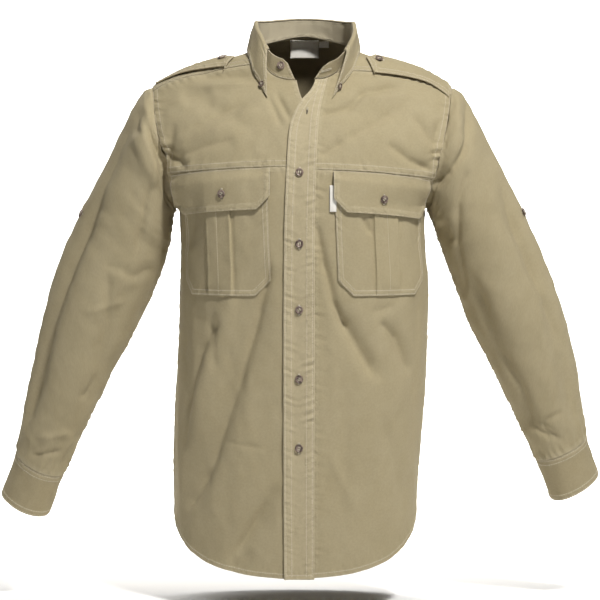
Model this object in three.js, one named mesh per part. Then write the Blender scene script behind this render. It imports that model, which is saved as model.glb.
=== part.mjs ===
// A long-sleeved field shirt with shoulder straps and two pleated flap pockets, filled out as it is worn.
// Millimetres. +Z is up, the front faces -Y, and the wearer's left is +X.
// The origin is in the middle of the neck hole, level with the top of the shoulders.
import * as THREE from "three";

// Driving sizes
const CLOTH = 1.2; // one ply of cloth with its turnings
const DOUBLE_CLOTH = 1.8; // collar, cuffs and straps, which are two plies
const SEAM_GAP = 0.45; // between pieces that meet at a seam
const LAY_GAP = 0.5; // between the placket and the fronts under it
const POCKET_GAP = 0.9; // under the pockets, flaps, straps and collar, which lie more loosely
const NECK_HALF_WIDTH = 71;
const NECK_FRONT = 68;
const NECK_BACK = 62;
const NECK_POWER = 2.6; // the neck seam's plan in front, squarer than an ellipse
const ARMHOLE_TOP_Z = -46;
const ARMHOLE_BOTTOM_Z = -216;
const YOKE_BACK_Z = -96;
const STAND_SLANT = 9; // how much shorter the stand is along its top, at each end, in degrees round the neck
const BUTTON_RADIUS = 5.75;
const BUTTON_THICKNESS = 2.4;
const SMALL_BUTTON_RADIUS = 4.5;
const BUTTON_GAP = 0.5; // under each button

// Level sections of the body, from the hem to the nape. power is 2 for an ellipse and more for a squarer one.
const BODY = [
  { z: -760, halfWidth: 172, front: 124, back: 121, shift: -7, power: 2.3 },
  { z: -629, halfWidth: 173.5, front: 126, back: 122, shift: -6.5, power: 2.3 },
  { z: -526, halfWidth: 176.5, front: 128, back: 121, shift: -2, power: 2.35 },
  { z: -423, halfWidth: 177.5, front: 129, back: 119, shift: 3.3, power: 2.4 },
  { z: -320, halfWidth: 176.5, front: 133, back: 122, shift: 6, power: 2.4 },
  { z: -262, halfWidth: 174, front: 135, back: 127, shift: 4, power: 2.4 },
  { z: -216, halfWidth: 175, front: 134.5, back: 129, shift: 2.5, power: 2.4 },
  { z: -185, halfWidth: 195, front: 132, back: 129, shift: 2.5, power: 2.35 },
  { z: -155, halfWidth: 216, front: 127, back: 128, shift: 2.5, power: 2.3 },
  { z: -125, halfWidth: 229, front: 119, back: 126, shift: 2.5, power: 2.2 },
  { z: -95, halfWidth: 233, front: 107, back: 122, shift: 2.5, power: 2.05 },
  { z: -70, halfWidth: 227, front: 93, back: 117, shift: 2.5, power: 1.88 },
  { z: -46, halfWidth: 213, front: 75, back: 110, shift: 3, power: 1.78 },
  { z: -25, halfWidth: 172, front: 61, back: 101, shift: 4, power: 1.78 },
  { z: -11, halfWidth: 131, front: 56, back: 94, shift: 5, power: 1.85 },
  { z: 4, halfWidth: 80, front: 52, back: 86, shift: 5.5, power: 2 },
  { z: 12, halfWidth: 70, front: 48, back: 79, shift: 5.5, power: 2 },
  { z: 24, halfWidth: 48, front: 39, back: 65, shift: 5.5, power: 2 },
  { z: 36, halfWidth: 24, front: 26, back: 44, shift: 5.5, power: 2 },
];

// The hem, from the middle of the front or back to a side seam, in degrees round the body.
const HEM = [
  { turn: 0, z: -738 },
  { turn: 32, z: -731.5 },
  { turn: 52, z: -718 },
  { turn: 63, z: -703 },
  { turn: 71.5, z: -687.5 },
  { turn: 82, z: -667 },
  { turn: 90, z: -654 },
];

// How far each armhole seam stands from the middle of the body.
const ARMHOLE = [
  { z: -216, x: 175 },
  { z: -195, x: 181.5 },
  { z: -170, x: 189 },
  { z: -140, x: 197 },
  { z: -105, x: 205 },
  { z: -78, x: 210 },
  { z: -46, x: 213 },
];

// The button placket, from the hem to the collar: its free edge, its seamed edge, and how far the free edge lifts.
const PLACKET = [
  { z: -760, free: -22, seam: 20, lift: 0 },
  { z: -600, free: -23, seam: 20, lift: 0 },
  { z: -400, free: -23, seam: 20.5, lift: 0 },
  { z: -250, free: -22, seam: 20.5, lift: 0 },
  { z: -165, free: -19, seam: 22.5, lift: 0 },
  { z: -110, free: -15.5, seam: 25, lift: 0.5 },
  { z: -92, free: -11.5, seam: 26.5, lift: 1.5 },
  { z: -75, free: -3, seam: 29, lift: 3 },
  { z: -66, free: 4, seam: 31, lift: 4 },
  { z: -57, free: 12.5, seam: 33, lift: 4 },
  { z: -48, free: 18, seam: 35.5, lift: 3 },
  { z: -36, free: 21.5, seam: 38.5, lift: 0 },
  { z: -18, free: 24, seam: 43, lift: 0 },
];

// The edge of the wearer's right front, which runs under the placket and comes free in the open neck.
const UNDER_EDGE = [
  { z: -760, x: 13 },
  { z: -400, x: 14 },
  { z: -165, x: 16 },
  { z: -100, x: 15 },
  { z: -83, x: 10 },
  { z: -66, x: 4 },
  { z: -52, x: -1 },
  { z: -36, x: -5 },
];

// What differs between the two sides as they hang. side is 1 on the wearer's left and -1 on the right.
const SIDES = {
  left: {
    side: 1, chestMiddle: -162, chestEnd: -177, yokeNeckPlan: -51, yokeTip: -58, standEnd: 21.5,
    foldEnd: 57.8, leafTip: -64, strapPoint: 87.5, strapFrontAtPoint: -51, strapFrontAtArm: -27,
  },
  right: {
    side: -1, chestMiddle: -158, chestEnd: -170, yokeNeckPlan: -42, yokeTip: -53, standEnd: -5,
    foldEnd: -43.6, leafTip: 240, strapPoint: 97.5, strapFrontAtPoint: -42, strapFrontAtArm: -6,
  },
};

// Rings of each sleeve, from the armhole to the cuff seam and then the cuff's edge. outer and inner are the ring's
// ends seen from the front, depth is half its size front to back, back is how far it lies behind, and droop is how
// much lower its front hangs, in degrees.
const SLEEVES = {
  left: [
    { outerX: 219, outerZ: -46, innerX: 180, innerZ: -216, depth: 71, back: 4, droop: 0 },
    { outerX: 231, outerZ: -56, innerX: 182, innerZ: -221, depth: 73, back: 4, droop: 0 },
    { outerX: 247.5, outerZ: -82, innerX: 185, innerZ: -229, depth: 75, back: 4, droop: 0 },
    { outerX: 283, outerZ: -154, innerX: 196, innerZ: -259, depth: 73, back: 5, droop: 2 },
    { outerX: 323, outerZ: -231, innerX: 214, innerZ: -309, depth: 68, back: 8, droop: 4 },
    { outerX: 363, outerZ: -326, innerX: 240, innerZ: -377, depth: 64, back: 12, droop: 7 },
    { outerX: 389, outerZ: -407, innerX: 277, innerZ: -450, depth: 58, back: 19, droop: 11 },
    { outerX: 403.5, outerZ: -486, innerX: 311, innerZ: -520, depth: 49, back: 27, droop: 15 },
    { outerX: 413, outerZ: -545, innerX: 337, innerZ: -577, depth: 39, back: 34, droop: 18 },
    { outerX: 431, outerZ: -601, innerX: 360, innerZ: -636, depth: 37, back: 40, droop: 20 },
  ],
  right: [
    { outerX: 217, outerZ: -46, innerX: 177, innerZ: -216, depth: 71, back: 4, droop: 0 },
    { outerX: 227, outerZ: -57, innerX: 178, innerZ: -221, depth: 73, back: 4, droop: 0 },
    { outerX: 244, outerZ: -88, innerX: 181, innerZ: -229, depth: 75, back: 4, droop: 0 },
    { outerX: 283, outerZ: -166, innerX: 184.5, innerZ: -260, depth: 73, back: 5, droop: 2 },
    { outerX: 317, outerZ: -232, innerX: 192, innerZ: -292, depth: 69, back: 8, droop: 5 },
    { outerX: 357, outerZ: -332, innerX: 233, innerZ: -386, depth: 64, back: 12, droop: 8 },
    { outerX: 378, outerZ: -419, innerX: 276, innerZ: -466, depth: 56, back: 19, droop: 13 },
    { outerX: 396, outerZ: -505, innerX: 311, innerZ: -538, depth: 46, back: 27, droop: 18 },
    { outerX: 409, outerZ: -568, innerX: 338, innerZ: -598, depth: 38, back: 33, droop: 23 },
    { outerX: 431, outerZ: -628, innerX: 360, innerZ: -656, depth: 36, back: 38, droop: 25 },
  ],
};
const CUFF_SEAM_ROW = 8;

// The largest soft folds, as lines seen from the front, in the X and Z of their ends. depth is out, so troughs are
// negative. face is -1 for the front and 1 for the back.
const BODY_FOLDS = [
  { x1: -52, z1: -372, x2: -150, z2: -640, width: 17, depth: -5, face: -1 },
  { x1: -92, z1: -330, x2: -172, z2: -560, width: 14, depth: 3, face: -1 },
  { x1: -48, z1: -640, x2: -98, z2: -735, width: 17, depth: -3.5, face: -1 },
  { x1: 55, z1: -360, x2: 110, z2: -455, width: 13, depth: -3, face: -1 },
  { x1: 128, z1: -372, x2: 158, z2: -470, width: 12, depth: -3, face: -1 },
  { x1: -60, z1: -108, x2: -150, z2: -60, width: 14, depth: -2, face: -1 },
  { x1: 60, z1: -90, x2: 150, z2: -80, width: 14, depth: -2, face: -1 },
  { x1: -40, z1: -300, x2: -120, z2: -600, width: 20, depth: -5, face: 1 },
  { x1: 50, z1: -300, x2: 125, z2: -590, width: 20, depth: -5, face: 1 },
  { x1: -90, z1: -130, x2: -150, z2: -230, width: 16, depth: -3, face: 1 },
  { x1: 90, z1: -130, x2: 150, z2: -230, width: 16, depth: -3, face: 1 },
];
const SLEEVE_FOLDS = [
  { x1: 232, z1: -110, x2: 208, z2: -176, width: 9, depth: 4, face: -1 },
  { x1: 290, z1: -210, x2: 345, z2: -330, width: 13, depth: -5, face: -1 },
  { x1: 350, z1: -345, x2: 388, z2: -520, width: 11, depth: -4, face: -1 },
  { x1: 240, z1: -330, x2: 300, z2: -440, width: 14, depth: -3, face: -1 },
  { x1: 250, z1: -150, x2: 320, z2: -330, width: 15, depth: -4, face: 1 },
  { x1: 290, z1: -380, x2: 360, z2: -510, width: 13, depth: -4, face: 1 },
];

// The collar's stand, round the neck in degrees: how high its top stands over the seam and how far out it leans.
const STAND = [
  { plan: -80, up: 21, out: 8 },
  { plan: -45, up: 23, out: 9 },
  { plan: -5, up: 33, out: -1 },
  { plan: 45, up: 29.5, out: -3 },
  { plan: 90, up: 24, out: -4 },
  { plan: 135, up: 29.5, out: -4 },
  { plan: 180, up: 34, out: -4 },
  { plan: 226, up: 29, out: -1 },
  { plan: 264, up: 28, out: 1 },
];

// The edge of the collar's leaf, from the back to each point: how far it lies out past the neck seam.
const LEAF_EDGE = [
  { toPoint: 0, reach: 17 },
  { toPoint: 0.35, reach: 13 },
  { toPoint: 0.57, reach: 8 },
  { toPoint: 0.8, reach: 12 },
  { toPoint: 0.91, reach: 14.5 },
  { toPoint: 1, reach: 24 },
];

// Pockets and flaps, as distances round the body from the middle of the front.
const POCKET = { inner: 47, outer: 195, topDrop: 16, bottom: -339, clip: 22 };
const PLEAT = { halfWidth: 19, raise: 1.3 };
const FLAP = { inner: 44.5, outer: 197.5, height: 57, clip: 18, flare: 9 };
const STRAP = { start: 208, width: 39, narrowing: 4, point: 15 };
const NECK_LABEL = { x1: -14, x2: 27, z1: -4, z2: 22 };
const SIZE_TAB = { x1: 27.6, x2: 41.5, z1: 11, z2: 20 };
const POCKET_TAG = { inner: 39, outer: 48, z1: -221, z2: -184 };

// Buttons, with x and z as seen from the front
const PLACKET_BUTTONS = [-165, -265, -359, -455, -553];
const PLACKET_BUTTON_X = -1;
const FLAP_BUTTONS = { left: { x: 118.5, z: -203 }, right: { x: -110, z: -196 } };
const STRAP_BUTTON_FROM_POINT = 19;
const CUFF_BUTTON_TURN = 80;

// Colours
const COLOURS = {
  cloth: { color: 0xada184, roughness: 0.92, metalness: 0 },
  collar: { color: 0xa99d80, roughness: 0.9, metalness: 0 },
  label: { color: 0xece8dd, roughness: 0.8, metalness: 0 },
  button: { color: 0x6f5f55, roughness: 0.25, metalness: 0 },
};

// Small sums
const lerp = (a, b, t) => a + (b - a) * t;
const clamp = (x, low, high) => Math.min(high, Math.max(low, x));
const smooth = (t) => {
  const c = clamp(t, 0, 1);
  return c * c * (3 - 2 * c);
};
const radians = (degrees) => (degrees * Math.PI) / 180;
const steps = (n) => Array.from({ length: n + 1 }, (_, i) => i / n);

// Reads one column of a table between its rows, along a smooth line that never overshoots them.
function track(rows, key, column) {
  const xs = rows.map((row) => row[key]);
  const ys = rows.map((row) => row[column]);
  const last = xs.length - 1;
  const secant = (i) => (ys[i + 1] - ys[i]) / (xs[i + 1] - xs[i]);
  const slopes = xs.map((_, i) => {
    if (i === 0) return secant(0);
    if (i === last) return secant(last - 1);
    const [before, after] = [secant(i - 1), secant(i)];
    return before * after > 0 ? (2 * before * after) / (before + after) : 0;
  });
  return (at) => {
    const x = clamp(at, xs[0], xs[last]);
    let i = 0;
    while (i < last - 1 && x > xs[i + 1]) i += 1;
    const h = xs[i + 1] - xs[i];
    const t = (x - xs[i]) / h;
    const rise = t * t * (3 - 2 * t);
    const leave = t * (1 - t) * (1 - t) * h * slopes[i];
    const arrive = t * t * (t - 1) * h * slopes[i + 1];
    return lerp(ys[i], ys[i + 1], rise) + leave + arrive;
  };
}

const tracks = (rows, key, columns) => Object.fromEntries(columns.map((c) => [c, track(rows, key, c)]));
const body = tracks(BODY, "z", ["halfWidth", "front", "back", "shift", "power"]);
const armholeX = track(ARMHOLE, "z", "x");
const placket = tracks(PLACKET, "z", ["free", "seam", "lift"]);
const underEdge = track(UNDER_EDGE, "z", "x");
const standOf = tracks(STAND, "plan", ["up", "out"]);
const leafReach = track(LEAF_EDGE, "toPoint", "reach");

// Finds where a rising function crosses zero.
function solve(f, low, high) {
  let [a, b] = [low, high];
  for (let i = 0; i < 40; i += 1) {
    const m = (a + b) / 2;
    if (f(m) > 0) b = m;
    else a = m;
  }
  return (a + b) / 2;
}

// The body's form. angle is -90 degrees at the middle of the front, 0 at the wearer's left side and 90 at the back.
function formPoint(angle, z) {
  const [c, s] = [Math.cos(angle), Math.sin(angle)];
  const deep = s < 0 ? body.front(z) : body.back(z);
  const n = body.power(z);
  const r = (Math.abs(c / body.halfWidth(z)) ** n + Math.abs(s / deep) ** n) ** (-1 / n);
  return new THREE.Vector3(body.shift(z) + r * c, r * s, z);
}

function formNormal(angle, z) {
  const round = formPoint(angle + 0.01, z).sub(formPoint(angle - 0.01, z));
  const up = formPoint(angle, z + 0.8).sub(formPoint(angle, z - 0.8));
  return round.cross(up).normalize();
}

// How far the folds of a table push a point out, seen from the front or from behind.
function foldHeight(folds, side, point, normal) {
  return folds.reduce((sum, fold) => {
    const [dx, dz] = [fold.x2 - fold.x1, fold.z2 - fold.z1];
    const [px, pz] = [point.x * side - fold.x1, point.z - fold.z1];
    const long = Math.hypot(dx, dz);
    const t = (px * dx + pz * dz) / (long * long);
    const away = Math.abs(px * dz - pz * dx) / long;
    const ends = smooth(t * 2.5 + 0.4) * smooth((1 - t) * 2.5 + 0.4);
    const faces = smooth(normal.y * fold.face * 1.6 - 0.1);
    return sum + fold.depth * Math.exp(-((away / fold.width) ** 2)) * ends * faces;
  }, 0);
}

// A point of the cloth on the body, moved out by a distance.
function onBody({ angle, z }, out = 0) {
  const point = formPoint(angle, z);
  const normal = formNormal(angle, z);
  return point.addScaledVector(normal, out + foldHeight(BODY_FOLDS, 1, point, normal));
}

// The same place on the other side of the body.
const mirrored = ({ angle, z }, side) => (side > 0 ? { angle, z } : { angle: -Math.PI - angle, z });

// The place on the front that has this X when seen from the front.
function frontAt(x, z) {
  const n = body.power(z);
  const across = clamp((x - body.shift(z)) / body.halfWidth(z), -1, 1);
  const y = -body.front(z) * (1 - Math.abs(across) ** n) ** (1 / n);
  return { angle: Math.atan2(y, x - body.shift(z)), z };
}

// The place at a distance round the body from the middle of the front, on the wearer's left.
function roundAt(distance, z) {
  let angle = -Math.PI / 2;
  let last = formPoint(angle, z);
  let gone = 0;
  while (gone < distance && angle < Math.PI) {
    angle += 0.02;
    const next = formPoint(angle, z);
    gone += next.distanceTo(last);
    last = next;
  }
  const over = (gone - distance) / Math.hypot(last.x - body.shift(z), last.y);
  return { angle: angle - Math.max(0, over), z };
}

const hemAt = track(HEM, "turn", "z");
const hemZ = (angle) => {
  const round = ((angle * 180) / Math.PI + 450) % 180;
  return hemAt(Math.min(round, 180 - round));
};

// The armhole seam as a closed ring. turn is 0 at the shoulder, -90 degrees in front and 180 under the arm.
function armholeAt(turn) {
  const middle = (ARMHOLE_TOP_Z + ARMHOLE_BOTTOM_Z) / 2;
  const z = middle + ((ARMHOLE_TOP_Z - ARMHOLE_BOTTOM_Z) / 2) * Math.cos(turn);
  const n = body.power(z);
  const x = armholeX(z);
  const deep = Math.sin(turn) < 0 ? -body.front(z) : body.back(z);
  const y = deep * Math.max(0, 1 - (x / body.halfWidth(z)) ** n) ** (1 / n);
  return { angle: Math.atan2(y, x), z };
}
const armholeTurn = (z) => {
  const middle = (ARMHOLE_TOP_Z + ARMHOLE_BOTTOM_Z) / 2;
  return Math.acos(clamp((z - middle) / ((ARMHOLE_TOP_Z - ARMHOLE_BOTTOM_Z) / 2), -1, 1));
};

// The place on the shoulders that has this X, from the body's middle line, and this Y when seen from above.
function fromAbove(x, y) {
  const outside = (z) => {
    const deep = y < 0 ? body.front(z) : body.back(z);
    return Math.abs(x / body.halfWidth(z)) ** body.power(z) + Math.abs(y / deep) ** body.power(z) - 1;
  };
  return { angle: Math.atan2(y, x), z: solve(outside, -110, 35.9) };
}

// The neck seam, where an upright oval meets the body. plan goes round as angle does, and reach is out past it.
function neckAt(plan, reach = 0) {
  const [c, s] = [Math.cos(plan), Math.sin(plan)];
  const [deep, n] = s < 0 ? [NECK_FRONT, NECK_POWER] : [NECK_BACK, 2];
  const r = (Math.abs(c / NECK_HALF_WIDTH) ** n + Math.abs(s / deep) ** n) ** (-1 / n) + reach;
  return fromAbove(r * c, r * s);
}

// Where the neck seam's front has this X when seen from the front.
function neckPlanAt(x) {
  const across = (x - body.shift(0)) / NECK_HALF_WIDTH;
  const y = -NECK_FRONT * (1 - Math.abs(across) ** NECK_POWER) ** (1 / NECK_POWER);
  return Math.atan2(y, across * NECK_HALF_WIDTH);
}

// Points along a path of places, evenly spaced on the cloth.
function spaced(path, count) {
  const fine = steps(120).map(path);
  const points = fine.map((place) => formPoint(place.angle, place.z));
  const gone = [0];
  for (let i = 1; i < points.length; i += 1) gone.push(gone[i - 1] + points[i].distanceTo(points[i - 1]));
  return steps(count).map((share) => {
    const want = share * gone[gone.length - 1];
    let i = 1;
    while (i < gone.length - 1 && gone[i] < want) i += 1;
    const t = clamp((want - gone[i - 1]) / (gone[i] - gone[i - 1] || 1), 0, 1);
    return path((i - 1 + t) / 120);
  });
}
const joined = (...runs) => runs.reduce((all, run) => [...all, ...run.slice(1)]);

// Fills the space between four edges with a grid of places.
function filled(bottom, top, start, end) {
  const [across, up] = [bottom.length - 1, start.length - 1];
  return steps(up).map((v, j) =>
    steps(across).map((u, i) => {
      const mix = (key) =>
        lerp(bottom[i][key], top[i][key], v) +
        lerp(start[j][key], end[j][key], u) -
        lerp(lerp(bottom[0][key], bottom[across][key], u), lerp(top[0][key], top[across][key], u), v);
      return { angle: mix("angle"), z: mix("z") };
    }),
  );
}

// A closed wall between two grids of points. Each grid is a list of rows.
function wall(outer, inner, ringed = false) {
  const [rows, columns] = [outer.length, outer[0].length];
  const positions = [...outer.flat(), ...inner.flat()].flatMap((p) => [p.x, p.y, p.z]);
  const at = (layer, j, i) => layer * rows * columns + j * columns + (i % columns);
  const faces = [];
  const quad = (a, b, c, d) => faces.push(a, b, c, a, c, d);
  const last = ringed ? columns : columns - 1;
  for (let j = 0; j < rows - 1; j += 1) {
    for (let i = 0; i < last; i += 1) {
      quad(at(0, j, i), at(0, j, i + 1), at(0, j + 1, i + 1), at(0, j + 1, i));
      quad(at(1, j, i), at(1, j + 1, i), at(1, j + 1, i + 1), at(1, j, i + 1));
    }
    if (!ringed) {
      quad(at(0, j, 0), at(0, j + 1, 0), at(1, j + 1, 0), at(1, j, 0));
      quad(at(0, j, last), at(1, j, last), at(1, j + 1, last), at(0, j + 1, last));
    }
  }
  for (let i = 0; i < last; i += 1) {
    quad(at(0, 0, i), at(1, 0, i), at(1, 0, i + 1), at(0, 0, i + 1));
    quad(at(0, rows - 1, i), at(0, rows - 1, i + 1), at(1, rows - 1, i + 1), at(1, rows - 1, i));
  }
  const geometry = new THREE.BufferGeometry();
  geometry.setAttribute("position", new THREE.Float32BufferAttribute(positions, 3));
  geometry.setIndex(facingOut(positions, faces));
  geometry.computeVertexNormals();
  return geometry;
}

// Turns every face round if the mesh is inside out.
function facingOut(positions, faces) {
  const corner = (i) => new THREE.Vector3().fromArray(positions, faces[i] * 3);
  let volume = 0;
  for (let i = 0; i < faces.length; i += 3) volume += corner(i).dot(corner(i + 1).cross(corner(i + 2)));
  if (volume > 0) return faces;
  return faces.map((_, i) => faces[i % 3 === 1 ? i + 1 : i % 3 === 2 ? i - 1 : i]);
}

// A wall of cloth laid on the body. out says how far its inner face lies off the body at each place.
function cloth(grid, thickness, out = () => -thickness) {
  const layer = (extra) =>
    grid.map((row, j) => row.map((place, i) => onBody(place, out(i, j, place) + extra(i, j))));
  return wall(layer(() => thickness), layer(() => 0));
}

const shirt = new THREE.Group();
const MATERIALS = Object.fromEntries(
  Object.entries(COLOURS).map(([name, look]) => [name, new THREE.MeshStandardMaterial(look)]),
);

function add(name, geometry, finish = "cloth") {
  const mesh = new THREE.Mesh(geometry, MATERIALS[finish].clone());
  mesh.name = name;
  shirt.add(mesh);
  return mesh;
}

// Seams that more than one panel shares. Each is a path of places for the wearer's left, from 0 to 1.
const sideSeam = (gap) => (t) => {
  const z = lerp(hemZ(0), ARMHOLE_BOTTOM_Z, t);
  return { angle: gap / body.halfWidth(z), z };
};
const armholeRun = (fromTurn, toTurn) => (t) => {
  const place = armholeAt(lerp(fromTurn, toTurn, t));
  const short = (SEAM_GAP / 2) / body.halfWidth(place.z);
  const steep = clamp(Math.abs(place.angle) / 0.3, 0, 1);
  return { angle: place.angle + Math.sign(place.angle) * short * steep, z: place.z };
};

function chestSeam(hang, gap) {
  return (x) => {
    const t = Math.abs(x) / 190;
    return lerp(hang.chestMiddle, hang.chestEnd, t * t) + gap;
  };
}

// The front edge of each front: the right runs under the placket and the left stops at the placket's seam.
const frontEdgeX = (hang, z) => (hang.side > 0 ? placket.seam(z) - 2.5 : underEdge(z));

function frontEdge(hang, z1, z2) {
  return (t) => {
    const z = lerp(z1, z2, t);
    return frontAt(frontEdgeX(hang, z), z);
  };
}

const onSide = (hang, run) => run.map((place) => mirrored(place, hang.side));

// The place where a front's chest seam meets its armhole.
function chestArmhole(hang, gap) {
  const z = hang.chestEnd + gap;
  return { z, turn: -armholeTurn(z) };
}

function lowerFront(hang) {
  const seam = chestSeam(hang, -SEAM_GAP / 2);
  const corner = chestArmhole(hang, -SEAM_GAP / 2);
  const edgeHem = frontAt(frontEdgeX(hang, -738), -738);
  const sideHem = mirrored({ angle: -SEAM_GAP / 2 / 174, z: 0 }, hang.side);
  const bottom = spaced((t) => {
    const angle = lerp(edgeHem.angle, sideHem.angle, t);
    return { angle, z: hemZ(angle) };
  }, 10);
  const edgeTop = frontEdgeX(hang, seam(0));
  const seamEndX = body.shift(corner.z) + hang.side * armholeX(corner.z);
  const top = spaced((t) => {
    const x = lerp(edgeTop, seamEndX, t);
    return t < 1 ? frontAt(x, seam(x * 0.96)) : mirrored(armholeRun(corner.turn, 0)(0), hang.side);
  }, 10);
  const waist = -310;
  const start = joined(
    spaced(frontEdge(hang, bottom[0].z, waist), 10),
    spaced(frontEdge(hang, waist, top[0].z), 8),
  );
  const seamAt = sideSeam(-SEAM_GAP / 2);
  const waistShare = (waist - hemZ(0)) / (ARMHOLE_BOTTOM_Z - hemZ(0));
  const side = onSide(hang, joined(
    spaced((t) => seamAt(t * waistShare), 9),
    spaced((t) => seamAt(lerp(waistShare, 1, t)), 4),
    spaced(armholeRun(-Math.PI, corner.turn), 5),
  ));
  return filled(bottom, top, start, side);
}

// How far a place stands from the body's middle line.
const offMiddle = (place) => formPoint(place.angle, place.z).x - body.shift(place.z);

function yokeSeam(hang, gap) {
  const neckPlan = radians(hang.yokeNeckPlan);
  const neck = neckAt(neckPlan);
  const tip = armholeAt(-armholeTurn(hang.yokeTip));
  const planOf = (place) => formPoint(place.angle, place.z).setX(offMiddle(place));
  const [from, to] = [planOf(neck), planOf(tip)];
  const path = (t) => fromAbove(lerp(from.x, to.x - 0.3, t), lerp(from.y, to.y, t) - gap);
  return { path, neckPlan };
}

function upperFront(hang) {
  const seam = chestSeam(hang, SEAM_GAP / 2);
  const corner = chestArmhole(hang, SEAM_GAP / 2);
  const edgeTop = frontEdgeX(hang, seam(0));
  const seamEndX = body.shift(corner.z) + hang.side * armholeX(corner.z);
  const bottom = spaced((t) => {
    const x = lerp(edgeTop, seamEndX, t);
    return t < 1 ? frontAt(x, seam(x * 0.96)) : mirrored(armholeRun(corner.turn, 0)(0), hang.side);
  }, 10);
  const yoke = yokeSeam(hang, SEAM_GAP);
  const neckEndPlan = hang.side > 0 ? neckPlanAt(placket.seam(-22) - 2.5) : -neckPlanAt(underEdge(-36)) - Math.PI;
  const neckEnd = neckAt(neckEndPlan);
  const edge = spaced(frontEdge(hang, bottom[0].z, neckEnd.z), 8);
  const neckLow = onSide(hang, spaced((t) => neckAt(lerp(neckEndPlan, yoke.neckPlan, t)), 5));
  const tip = spaced(armholeRun(corner.turn, -armholeTurn(hang.yokeTip)), 13);
  const top = onSide(hang, spaced(yoke.path, 10));
  const start = joined(edge, neckLow);
  start[start.length - 1] = top[0];
  const side = onSide(hang, tip);
  side[side.length - 1] = top[top.length - 1];
  return filled(bottom, top, start, side);
}

function backPanel() {
  const seamZ = YOKE_BACK_Z - SEAM_GAP / 2;
  const turn = armholeTurn(seamZ);
  const bottom = spaced((t) => {
    const angle = lerp(SEAM_GAP / 2 / 174, Math.PI - SEAM_GAP / 2 / 174, t);
    return { angle, z: hemZ(angle) };
  }, 20);
  const left = joined(spaced(sideSeam(SEAM_GAP / 2), 12), spaced(armholeRun(Math.PI, turn), 5));
  const right = left.map((place) => ({ angle: Math.PI - place.angle, z: place.z }));
  const [from, to] = [left[left.length - 1].angle, right[right.length - 1].angle];
  const top = spaced((t) => ({ angle: lerp(from, to, t), z: seamZ }), 20);
  return filled(bottom, top, left, right);
}

// The yoke runs from one front seam, behind the neck, to the other front seam.
function yoke() {
  const half = (hang) => {
    const seam = yokeSeam(hang, 0);
    const backTurn = armholeTurn(YOKE_BACK_Z);
    return {
      seam: spaced(seam.path, 8),
      neck: spaced((t) => neckAt(lerp(seam.neckPlan, Math.PI / 2, t)), 18),
      armhole: spaced(armholeRun(-armholeTurn(hang.yokeTip), backTurn), 8),
    };
  };
  const [left, right] = [half(SIDES.left), half(SIDES.right)];
  const flip = (run) => run.map(({ angle, z }) => ({ angle: Math.PI - angle, z }));
  const corner = left.armhole[left.armhole.length - 1];
  const across = spaced((t) => ({ angle: lerp(corner.angle, Math.PI - corner.angle, t), z: YOKE_BACK_Z }), 20);
  const inner = joined(left.neck, flip(right.neck).reverse());
  const outer = joined(left.armhole, across, flip(right.armhole).reverse());
  inner[0] = left.seam[0];
  outer[0] = left.seam[8];
  const endSeam = flip(right.seam);
  inner[inner.length - 1] = endSeam[0];
  outer[outer.length - 1] = endSeam[8];
  return filled(inner, outer, left.seam, endSeam);
}

// A strip of places between two lines seen from the front.
function frontStrip(lowZ, highZ, leftX, rightX, across, up) {
  return steps(up).map((v) =>
    steps(across).map((u) => {
      const guess = lerp(lowZ(0), highZ(0), v);
      const x = lerp(leftX(guess), rightX(guess), u);
      const z = lerp(lowZ(x), highZ(x), v);
      return frontAt(lerp(leftX(z), rightX(z), u), z);
    }),
  );
}

function placketPanel() {
  const neckZ = (x) => neckAt(neckPlanAt(clamp(x, 20, 50))).z - 0.6;
  const grid = frontStrip(() => hemZ(-Math.PI / 2) + 0.3, neckZ, placket.free, placket.seam, 3, 44);
  return cloth(grid, CLOTH, (i, j, place) => LAY_GAP + placket.lift(place.z) * (1 - i / 3));
}

// Pocket, pleat and flap
function pocketPanel(hang) {
  const { inner, outer, clip } = POCKET;
  const middle = (inner + outer) / 2;
  const { halfWidth, raise } = PLEAT;
  const edge = middle - halfWidth;
  const half = [0, 0.5 * clip, clip, lerp(clip, edge - inner, 0.5)];
  const pleat = [edge - inner - 0.8, edge - inner, edge - inner + halfWidth / 2];
  const firstHalf = [...half, ...pleat].map((d) => inner + d);
  const columns = [...firstHalf, middle, ...firstHalf.map((d) => 2 * middle - d).reverse()];
  const top = chestSeam(hang, 0)(120) - POCKET.topDrop;
  const grid = steps(10).map((v) =>
    columns.map((distance) => {
      const fromSide = Math.min(distance - inner, outer - distance);
      const bottom = POCKET.bottom + Math.max(0, clip - fromSide);
      return mirrored(roundAt(distance, lerp(bottom, top, v)), hang.side);
    }),
  );
  const proud = (i) => (Math.abs(columns[i] - middle) <= halfWidth + 0.01 ? raise : 0);
  const layer = (out) => grid.map((row) => row.map((place, i) => onBody(place, POCKET_GAP + out(i))));
  return wall(layer((i) => CLOTH + proud(i)), layer(() => 0));
}

function flapPanel(hang) {
  const { inner, outer, height, clip, flare } = FLAP;
  const shares = [0, 0.06, clip / (outer - inner), 0.26, 0.4, 0.5, 0.6, 0.74, 1 - clip / (outer - inner), 0.94, 1];
  const seam = chestSeam(hang, -1.2);
  const downs = [0, 0.1, 0.21, 0.32, 0.5, 0.75, 1];
  const grid = downs.map((v) =>
    shares.map((share) => {
      const distance = lerp(inner, outer, share);
      const fromSide = Math.min(distance - inner, outer - distance);
      const long = height - Math.max(0, clip - fromSide);
      const top = seam(distance * 0.96);
      return mirrored(roundAt(distance, top - long * v), hang.side);
    }),
  );
  const flares = hang.side < 0 ? flare : 2;
  return cloth(grid, CLOTH, (i, j) => {
    const v = downs[j];
    const over = POCKET_GAP + smooth(v * 3.6) * (CLOTH + PLEAT.raise + POCKET_GAP);
    return over + flares * smooth((shares[i] - 0.7) / 0.3) * v;
  });
}

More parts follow.
